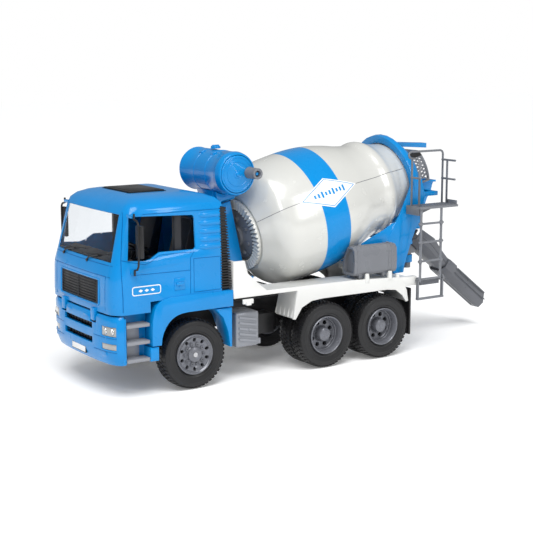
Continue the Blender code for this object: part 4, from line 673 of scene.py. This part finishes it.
    slats = bmesh.new()
    for sign in (1, -1):
        for k in range(30):
            z = 104.5 + 2.86 * k
            lean = 5.5 * (z - 102.0) / 88.0
            outer = Vector(on_side(-32.0, z, 0.0, sign)).y
            add_box(slats, (-44.5 + lean, -30.9), (outer - sign * 3.4, outer + sign * 0.25), (z, z + 1.5))
    piece("intake_slats", slats, BLACK, "cab", bevel=0.25)
    for side, sign in (("left", 1), ("right", -1)):
        refined("intake_" + side, BLACK, bevel=0.25)
        refined("mirror_" + side, BLACK, bevel=0.25)
        face = bmesh.new()
        add_box(face, (66.75, 67.3), (sign * 83.2, sign * 91.6), (149.0, 178.2))
        piece("mirror_face_" + side, face, MIRROR, side + "_mirror", bevel=0.2)

    inside = bmesh.new()
    hood = (
        (60.5, 138.6), (67.8, 143.6), (82.6, 138.0), (82.0, 139.2), (67.9, 144.6), (60.5, 140.0),
    )
    add_slab(inside, hood, 1, 20.0, 56.0)
    for y in (-40.0, -26.0, -12.0, 4.0):
        add_box(inside, (61.5, 66.0), (y - 4.5, y + 4.5), (138.4, 141.2))
    for sign in (-1, 1):
        for x, z in ((-14.3, 170.5), (-12.6, 160.0), (-10.6, 149.0)):
            add_box(inside, (x, x + 3.4), (sign * 25.0, sign * 50.0), (z, z + 7.0))
        add_box(inside, (1.5, 22.5), (sign * 24.0, sign * 51.0), (135.6, 137.4))
    piece("cab_padding", inside, INTERIOR, "cab", bevel=0.9)


cab_details()


# ---------------------------------------------------------------- bumper, steps and boxes

def bumper_x(y, inset=0.0):
    y = abs(y)
    for (x0, y0), (x1, y1) in zip(BUMPER, BUMPER[1:]):
        if y0 <= y <= y1:
            return x0 + (x1 - x0) * (y - y0) / (y1 - y0) - inset
    return BUMPER[-1][0] - inset


def front_details():
    refined("front_bumper", BLUE, bevel=0.45)
    for side, sign in (("left", 1), ("right", -1)):
        refined("lamp_unit_" + side, LENS, bevel=0.3)
        refined("cab_steps_" + side, SILVER, bevel=0.3)
        refined("front_mudguard_" + side, BLUE, bevel=0.5)
        refined("side_box_" + side, SILVER if side == "left" else GREY, bevel=0.4)

    lines = bmesh.new()
    for z, reach in ((50.0, 75.0), (64.3, 75.0)):
        for sign in (1, -1):
            route = [(bumper_x(y, -0.02), y * sign, z) for y in range(36, int(reach), 3)]
            add_route(lines, route, 0.3, sides=6)
    piece("bumper_lines", lines, BLUE_DEEP, "chassis", angle=50.0)

    bm = bmesh.new()
    for z0, z1 in ((54.0, 61.6), (69.0, 76.6)):
        add_box(bm, (91.6, 92.6), (-32.0, 32.0), (z0, z1))
        for k in range(9):
            y = -28.0 + 7.0 * k
            add_box(bm, (92.4, 93.4), (y - 0.5, y + 0.5), (z0 + 0.5, z1 - 0.5))
    piece("bumper_mesh", bm, BLACK, "chassis", bevel=0.15)

    handles = bmesh.new()
    outline = ((95.0, 80.5), (98.6, 80.9), (98.2, 83.3), (95.0, 84.0))
    for sign in (1, -1):
        add_slab(handles, outline, 1, sign * 14.0, sign * 26.0)
    piece("bumper_handles", handles, BLUE, "chassis", bevel=0.6)

    plate = bmesh.new()
    add_slab(plate, ((-16.5, 40.2), (16.5, 40.2), (16.5, 47.6), (-16.5, 47.6)), 0, 94.0, 97.35)
    add_slab(plate, ((-15.7, 41.0), (15.7, 41.0), (15.7, 46.8), (-15.7, 46.8)), 0, 97.2, 97.6, material=1)
    piece("number_plate", plate, [BLACK, PAPER], "chassis", bevel=0.2)

    lamps = bmesh.new()
    for sign in (1, -1):
        for y in (56.0, 65.5):
            x = bumper_x(y, 0.1)
            place = Matrix.Translation((x - 1.6, sign * y, 71.0)) @ Matrix.Rotation(math.pi / 2, 4, "Y")
            add_turned(lamps, [(2.4, 0.6), (3.9, 1.5), (4.1, 1.2), (4.1, 0.0), (2.4, 0.0)], place, 28)
            add_rod(lamps, (x - 1.6, sign * y, 71.0), (x - 0.5, sign * y, 71.0), 2.0, 1.5, sides=16)
        x = bumper_x(60.0, 0.3)
        add_box(lamps, (x - 1.0, x - 0.2), (sign * 54.0, sign * 60.0), (53.6, 56.9))
    piece("lamp_bowls", lamps, CHROME, "chassis", angle=40.0)

    grips = bmesh.new()
    for sign in (1, -1):
        for top in (41.9, 60.0, 77.8):
            for k in range(5):
                y = 65.5 + 2.4 * k
                add_box(grips, (55.4, 78.2), (sign * (y - 0.45), sign * (y + 0.45)), (top - 0.2, top + 0.35))
    piece("step_grips", grips, SILVER, "chassis", bevel=0.15)


front_details()


# ---------------------------------------------------------------- chassis and bed

def chassis_details():
    refined("chassis_frame", BLACK, bevel=0.3)
    refined("engine_block", DARK, bevel=0.3)
    refined("rear_mudflaps", BLACK, bevel=0.4)
    refined("rear_bed", WHITE, bevel=0.5)
    tank = refined("side_tank", GREY, bevel=0.6)
    hollow, floor = bmesh.new(), bmesh.new()
    rim = (
        (63.2, 128.9), (56.0, 115.0), (56.0, 101.2), (71.2, 101.2), (73.0, 103.2), (73.4, 114.0),
        (72.4, 125.6), (70.0, 128.7),
    )
    add_slab(hollow, rim, 0, -206.0, -220.0)
    cut_out(tank, hollow)
    # The floor of the hollow is a near-black plate: painted shade inside the recess.
    add_slab(floor, rim, 0, -218.6, -219.9)
    piece("side_tank_mouth", floor, SHADE_BLACK, "chassis")

    ridges = bmesh.new()
    for sign in (1, -1):
        for y in (42.0, 50.0, 58.0, 66.0, 73.0):
            profile = ((-128.0, 92.5), (-128.3, 84.0), (-126.2, 74.0), (-122.9, 61.5))
            route = [(x, sign * y, z) for x, z in profile]
            add_route(ridges, stepped(route, 3), 0.9, sides=8)
    piece("fender_ridges", ridges, WHITE, "chassis", angle=50.0)

    fittings = bmesh.new()
    for sign in (1, -1):
        add_box(fittings, (-70.0, -57.0), (sign * 76.6, sign * 79.0), (84.5, 89.5))
        add_box(fittings, (-66.5, -60.5), (sign * 76.6, sign * 80.4), (83.0, 86.5))
        add_rod(fittings, (-270.0, sign * 74.6, 91.0), (-270.0, sign * 74.6, 95.0), 2.6, 2.2, sides=20)
        for x in (-224.0, -257.0):
            add_slab(
                fittings, ((x - 3.0, 90.5), (x + 3.0, 90.5), (x + 1.9, 100.5), (x - 1.9, 100.5)), 1,
                sign * 75.3, sign * 78.2,
            )
    piece("bed_fittings", fittings, WHITE, "chassis", bevel=0.4)

    straps = bmesh.new()
    front = -207.5
    for x in (front - 4.0, front - 48.0):
        outline = (
            (54.0, 99.4), (72.6, 98.3), (75.4, 101.8), (76.0, 114.0), (74.9, 127.3), (71.2, 131.5),
            (64.0, 132.0), (61.0, 130.4), (53.6, 114.6),
        )
        add_slab(straps, outline, 0, x, x - 2.2)
    for z in (104.0, 109.0, 114.0, 119.0, 124.0):
        add_box(straps, (front - 56.5, front - 61.4), (57.0, 72.0), (z, z + 1.2))
    piece("side_tank_straps", straps, GREY, "chassis", bevel=0.3)


chassis_details()


# ---------------------------------------------------------------- drum and its drive

PROFILE = smooth(DRUM_PROFILE, 4)


def drum_r(s):
    for (s0, r0), (s1, r1) in zip(PROFILE, PROFILE[1:]):
        if s0 <= s <= s1:
            return r0 + (r1 - r0) * (s - s0) / (s1 - s0)
    return PROFILE[-1][1]


def on_drum(s, angle, out=0.0):
    r = drum_r(s) + out
    return DRUM @ Vector((r * math.cos(angle), r * math.sin(angle), s))


def add_patch(bm, stations, span, low, high, material=0, across=10):
    """A thin plate on the drum: at each station it covers the angles that span gives."""
    rings = []
    for s in stations:
        a0, a1 = span(s)
        angles = [a0 + (a1 - a0) * k / across for k in range(across + 1)]
        rings.append([on_drum(s, a, high) for a in angles] + [on_drum(s, a, low) for a in reversed(angles)])
    add_loft(bm, rings, material=material)


def drum_details():
    """The shell is one turned skin in two colours, with its seams, label and mouth ring on it."""
    stations = sorted({s for s, _ in PROFILE} | set(BAND))
    segments = 96
    for half, start in (("upper", 0), ("lower", 1)):
        bm = bmesh.new()
        first = SEAM_ANGLE + start * math.pi + 0.0009
        angles = [first - (math.pi - 0.0018) * (1 - k / (segments // 2)) for k in range(segments // 2 + 1)]
        sections = []
        for a in angles:
            outer = [on_drum(s, a) for s in stations]
            inner = [on_drum(s, a, -DRUM_WALL) for s in reversed(stations) if s > -64.0]
            sections.append([bm.verts.new(point) for point in outer + inner])
        count = len(sections[0])
        for near, far in zip(sections, sections[1:]):
            for i in range(count - 1):
                face = bm.faces.new((near[i], near[i + 1], far[i + 1], far[i]))
                within = i < len(stations) - 1 and BAND[0] <= stations[i] < BAND[1]
                face.material_index = 1 if within else 0
        for section in (sections[0], sections[-1]):
            for i in range(len(stations) - 4):
                pair = (section[i], section[i + 1], section[count - 2 - i], section[count - 1 - i])
                if len(set(pair)) == 4 and i + 1 < count - 2 - i:
                    bm.faces.new(pair)
        name = "drum_shell_" + half
        made = piece(name + "_skin", bm, [PEARL, BAND_BLUE], "drum", angle=40.0)
        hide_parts(name)

    seams = bmesh.new()
    for angle in (SEAM_ANGLE, SEAM_ANGLE + math.pi):
        add_patch(
            seams, stations[:-2], lambda s: (angle - 0.30 / drum_r(s), angle + 0.30 / drum_r(s)), -0.5, 0.05,
            across=2,
        )
    piece("drum_seams", seams, DARK, "drum", angle=40.0)

    label = bmesh.new()
    for share, high, material in ((1.0, 0.14, 1), (0.92, 0.18, 0), (0.875, 0.22, 1)):
        length = LABEL_LENGTH * share
        near = [LABEL_AT - length * 0.985 + 1.97 * length * k / 40 for k in range(41)]
        add_patch(
            label, near,
            lambda s: (
                SEAM_ANGLE - LABEL_HALF_ANGLE * share * (1 - abs(s - LABEL_AT) / length),
                SEAM_ANGLE + LABEL_HALF_ANGLE * share * (1 - abs(s - LABEL_AT) / length),
            ),
            -0.2, high, material=material, across=12,
        )
    for step in range(-4, 5):
        middle = LABEL_AT + 5.0 * step
        near = [middle - 1.3 + 2.6 * k / 4 for k in range(5)]
        tall = (0.034, 0.05, 0.028)[step % 3]
        add_patch(label, near, lambda s: (SEAM_ANGLE - tall, SEAM_ANGLE + tall), 0.0, 0.27, across=4)
    piece("drum_label", label, [BAND_BLUE, PAPER], "drum", angle=40.0)

    front = bmesh.new()
    add_turned(front, [(28.0, -67.4), (43.6, -67.4), (43.6, -66.9), (42.0, -65.2), (28.0, -65.2)], DRUM, 96)
    piece("drum_front_wall", front, PEARL, "drum", angle=40.0)
    refined("drum_gear_ring", PEARL, bevel=0.2)
    # Near-black plates between the teeth: painted shade in the gaps.
    gaps = bmesh.new()
    for k in range(GEAR_TEETH):
        a0, a1 = (2 * math.pi * (k + share) / GEAR_TEETH for share in (-0.22, 0.22))
        corners = []
        for r, a in ((31.5, a0), (31.5, a1), (40.2, a1), (40.2, a0)):
            corners.append((r * math.cos(a), r * math.sin(a)))
        add_loft(gaps, [[DRUM @ Vector((x, y, s)) for x, y in corners] for s in GEAR_FACE])
    piece("drum_gear_gaps", gaps, SHADE_BLACK, "drum")
    refined("drum_hub", GREY, bevel=0.3)
    refined("mixing_blade", DARK, bevel=0.0)
    refined("drive_shaft", GREY, bevel=0.15)
    refined("drum_pedestal", BLUE, bevel=0.45)


drum_details()


def tank_details():
    h = TANK_HALF
    place = along_y(TANK_X, TANK_Z)
    room = 20.7
    profile = [
        (0.0, -h), (18.0, -h), (20.6, -h + 0.4), (22.6, -h + 1.8), (23.4, -h + 4.0), (24.0, -h + 5.0),
        (23.9, -h + 6.4), (23.5, -h + 7.0), (23.5, -12.0), (23.9, -11.6), (23.9, -8.2), (23.5, -7.8),
        (23.5, 12.0),
        (23.9, 12.4), (23.9, 15.8), (23.5, 16.2), (23.5, h - 7.0), (23.9, h - 6.4), (24.0, h - 5.0),
        (23.5, h - 3.6), (23.2, h - 1.0), (22.6, h + 0.8), (21.9, h + 1.5), (room, h + 1.6), (room, h - 3.0),
        (21.3, h - 5.0), (21.3, -h + 5.0), (19.0, -h + 2.2), (0.0, -h + 2.0),
    ]
    bm = bmesh.new()
    add_turned(bm, profile, place, 96)
    add_rod(bm, (TANK_X, 0.0, TANK_Z + 22.4), (TANK_X, 0.0, TANK_Z + 24.5), 6.5, 6.1, sides=40)
    made = piece("water_tank_shell", bm, BLUE, "chassis", angle=28.0)
    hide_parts("water_tank")
    hole = bmesh.new()
    add_rod(hole, DRUM @ Vector((47.0, 0.0, -82.28)), DRUM @ Vector((65.0, 0.0, -82.28)), 3.5, sides=24)
    cut_out(made, hole)

    latches = bmesh.new()
    for y in (-10.0, 14.1):
        for turn in (40.0, 118.0):
            a = math.radians(turn)
            way = Vector((-math.cos(a), 0.0, math.sin(a)))
            middle = Vector((TANK_X, y, TANK_Z)) + way * 24.1
            across = Vector((way.z, 0.0, -way.x))
            rings = []
            for d in (-2.6, 2.6):
                rings.append([
                    middle + across * d + Vector((0.0, dy, 0.0)) + way * out
                    for dy, out in ((-3.0, -0.8), (3.0, -0.8), (2.6, 0.7), (-2.6, 0.7))
                ])
            add_loft(latches, rings)
    piece("tank_latches", latches, BLUE, "chassis", bevel=0.25)
    refined("tank_cap", BLUE, bevel=0.3)
    refined("crank_wheel", BLUE, bevel=0.25)
    refined("crank_knob", GREY, bevel=0.3)

    disc = bmesh.new()
    for r in (17.6, 13.0, 4.6):
        ring = [(r - 0.45, 45.0), (r, 45.5), (r + 0.45, 45.0)]
        add_turned(disc, ring, place, 80)
    piece("crank_rings", disc, BLUE, "crank", angle=40.0)


tank_details()


# ---------------------------------------------------------------- rear end

def on_cage(s, angle, r):
    """A point on the guard, whose flat top cuts its round sides off."""
    r *= min(1.0, CAGE_TOP / CAGE_R / max(math.cos(angle), 0.1))
    return DRUM @ Vector((r * math.cos(angle), r * math.sin(angle), s))


def add_cage_strip(bm, route, width, r0, r1, material=0):
    """A bent bar on the cage: route holds (distance, angle) pairs."""
    rings = []
    for i, (s, a) in enumerate(route):
        s0, a0 = route[max(i - 1, 0)]
        s1, a1 = route[min(i + 1, len(route) - 1)]
        ds, da = s1 - s0, (a1 - a0) * CAGE_R
        length = math.hypot(ds, da)
        side_s, side_a = -da / length * width / 2, ds / length * width / 2 / CAGE_R
        rings.append([
            on_cage(s - side_s, a - side_a, r1), on_cage(s + side_s, a + side_a, r1),
            on_cage(s + side_s, a + side_a, r0), on_cage(s - side_s, a - side_a, r0),
        ])
    add_loft(bm, rings, material=material)


def cage_details():
    """An arched guard of crossed bars between two rims, with black corners under its flat top."""
    bm = bmesh.new()
    r0, r1 = CAGE_R - 2.2, CAGE_R - 0.1
    reach = math.radians(99.0)
    for s in (CAGE_FRONT + 1.3, CAGE_REAR - 1.3):
        count = 60
        route = [(s, -reach + 2 * reach * k / count) for k in range(count + 1)]
        add_cage_strip(bm, route, 2.5, r0, r1)
    span = math.radians(13.0)
    for k in range(-15, 16):
        for way in (-1, 1):
            middle = k * math.radians(6.5)
            if abs(middle) + span / 2 > reach:
                continue
            route = [
                (CAGE_FRONT + 1.0 + 16.0 * j / 4, middle + way * span * (j / 4 - 0.5)) for j in range(5)
            ]
            add_cage_strip(bm, route, 1.6, r0 + 0.35, r1 - 0.25)
    for angle in (-reach, reach):
        add_cage_strip(bm, [(CAGE_FRONT + 0.1, angle), (CAGE_REAR - 0.1, angle)], 2.2, r0, r1)
    for sign in (-1, 1):
        route = [(CAGE_FRONT + 9.0, sign * math.radians(38.0 + 17.0 * k / 8)) for k in range(9)]
        add_cage_strip(bm, route, 17.0, r0 - 0.3, r1 + 0.08, material=1)
    made = piece("hopper_cage_bars", bm, [GREY, BLACK], "chassis", angle=40.0)
    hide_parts("hopper_cage")


cage_details()


def rear_details():
    refined("rear_support", BLUE, bevel=0.45)
    refined("discharge_funnel", BLUE, bevel=0.4)
    refined("chute_upper", DARK, bevel=0.35)
    refined("chute_lower", DARK, bevel=0.35)
    refined("chute_swivel", GREY, bevel=0.3)
    refined("platform", GREY, bevel=0.3)
    refined("railing", GREY, bevel=0.0, angle=52.0)
    refined("ladder", GREY, bevel=0.0, angle=52.0)
    refined("ladder_step", GREY, bevel=0.25)

    x0, x1, y0, y1, top = PLATFORM
    tread = bmesh.new()
    for k in range(13):
        x = x0 + 3.8 + 4.1 * k
        add_box(tread, (x - 0.6, x + 0.6), (y0 + 2.6, y1 - 1.2), (top - 0.3, top + 0.5))
    for k in range(4):
        y = y0 + 4.4 + 6.0 * k
        add_box(tread, (x0 + 2.4, x1 - 1.0), (y - 0.5, y + 0.5), (top - 0.3, top + 0.4))
    piece("platform_tread", tread, GREY, "chassis", bevel=0.15)

    knobs = bmesh.new()
    for z in RUNGS:
        for x, way in ((LADDER_X[0], 1), (LADDER_X[1], -1)):
            add_rod(knobs, (x + way * 1.0, LADDER_Y, z), (x + way * 3.2, LADDER_Y, z), 1.5, 1.2, sides=16)
            add_rod(knobs, (x, LADDER_Y, z - 2.1), (x, LADDER_Y, z + 2.1), 2.0, sides=16)
    piece("ladder_knobs", knobs, GREY, "chassis", bevel=0.2)


rear_details()


# ---------------------------------------------------------------- chute ribs

SLOPE = math.radians(38.0)
CHUTE_D = Vector((-math.cos(SLOPE), 0.0, -math.sin(SLOPE)))
CHUTE_H = Vector((-math.sin(SLOPE), 0.0, math.cos(SLOPE)))
CHUTE_START = Vector((-343.0, 0.0, 117.5))


def on_chute(along, height, side):
    return CHUTE_START + CHUTE_D * along + CHUTE_H * height + Vector((0.0, side, 0.0))


def chute_details():
    rails = bmesh.new()
    for sign in (1, -1):
        add_route(rails, [on_chute(along, 14.6, sign * 16.1) for along in (82.0, 110.0, 140.0)], 0.8, sides=8)
        add_route(rails, [on_chute(along, 8.0, sign * 16.2) for along in (82.0, 110.0, 146.0)], 0.7, sides=8)
    for side in (-4.0, 4.0):
        add_route(rails, [on_chute(along, -2.4, side) for along in (83.0, 115.0, 149.0)], 0.7, sides=8)
    piece("chute_end_ribs", rails, DARK, "chute_end", angle=50.0)
    upper = bmesh.new()
    for sign in (1, -1):
        edge = ((2.0, 13.0, 17.0), (24.0, 14.0, 17.0), (44.0, 12.0, 15.0), (62.0, 11.0, 14.0))
        add_route(upper, [on_chute(a, h, sign * y) for a, h, y in edge], 0.7, sides=8)
    piece("chute_ribs", upper, DARK, "chute", angle=50.0)


chute_details()


# ---------------------------------------------------------------- floor, lights and camera

def stage_floor():
    """A white ground that glows faintly, so that it meets the background without a line."""
    bm = bmesh.new()
    bmesh.ops.create_grid(bm, x_segments=1, y_segments=1, size=FLOOR_SIZE)
    mesh = bpy.data.meshes.new("floor")
    bm.to_mesh(mesh)
    bm.free()
    floor = bpy.data.objects.new("floor", mesh)
    bpy.context.scene.collection.objects.link(floor)
    floor.location.z = -FLOOR_DROP
    white = plastic("floor_white", (0.95, 0.95, 0.95), 0.6, mottle=0.005, grain=0.0)
    shader = white.node_tree.nodes["Principled BSDF"]
    shader.inputs["Emission Color"].default_value = (1.0, 1.0, 1.0, 1.0)
    shader.inputs["Emission Strength"].default_value = FLOOR_GLOW
    floor.data.materials.append(white)


def area_light(name, location, aim, size, power):
    data = bpy.data.lights.new(name, "AREA")
    data.energy = power
    data.shape = "RECTANGLE"
    data.size, data.size_y = size
    lamp = bpy.data.objects.new(name, data)
    bpy.context.scene.collection.objects.link(lamp)
    lamp.location = location
    lamp.rotation_euler = (Vector(aim) - Vector(location)).to_track_quat("-Z", "Y").to_euler()


def studio():
    """An even white world, a broad soft light from above and two softboxes that give the gloss its shapes."""
    world = bpy.data.worlds.new("studio")
    bpy.context.scene.world = world
    world.use_nodes = True
    nodes, links = world.node_tree.nodes, world.node_tree.links
    fill = nodes["Background"]
    fill.inputs["Color"].default_value = (0.96, 0.98, 1.0, 1.0)
    fill.inputs["Strength"].default_value = WORLD_FILL
    backdrop = nodes.new("ShaderNodeBackground")
    backdrop.inputs["Color"].default_value = (1.0, 1.0, 1.0, 1.0)
    seen = nodes.new("ShaderNodeLightPath")
    mix = nodes.new("ShaderNodeMixShader")
    links.new(seen.outputs["Is Camera Ray"], mix.inputs["Fac"])
    links.new(fill.outputs["Background"], mix.inputs[1])
    links.new(backdrop.outputs["Background"], mix.inputs[2])
    links.new(mix.outputs["Shader"], nodes["World Output"].inputs["Surface"])

    data = bpy.data.lights.new("overhead", "SUN")
    data.energy = SUN_POWER
    data.angle = SUN_SPREAD
    lamp = bpy.data.objects.new("overhead", data)
    bpy.context.scene.collection.objects.link(lamp)
    lamp.rotation_euler = Vector((-0.25, -0.40, -1.0)).to_track_quat("-Z", "Y").to_euler()
    area_light("front_box", (1.1, 1.0, 1.0), (0.1, 0.0, 0.1), (0.25, 1.0), 7.0)
    area_light("side_box", (-0.5, 1.4, 0.9), (0.0, 0.0, 0.15), (0.2, 1.1), 6.0)


stage_floor()
studio()

camera_data = bpy.data.cameras.new("camera")
camera_data.sensor_width = 36.0
camera_data.lens = CAMERA_LENS
camera = bpy.data.objects.new("camera", camera_data)
bpy.context.scene.collection.objects.link(camera)
camera.location = CAMERA_AT * MM + Vector((AXLE_X, 0.0, 0.0))
look = Vector((-math.cos(AZIMUTH) * math.cos(DOWN), -math.sin(AZIMUTH) * math.cos(DOWN), -math.sin(DOWN)))
camera.rotation_euler = look.to_track_quat("-Z", "Y").to_euler()
bpy.context.scene.camera = camera
bpy.context.scene.view_settings.view_transform = "Standard"
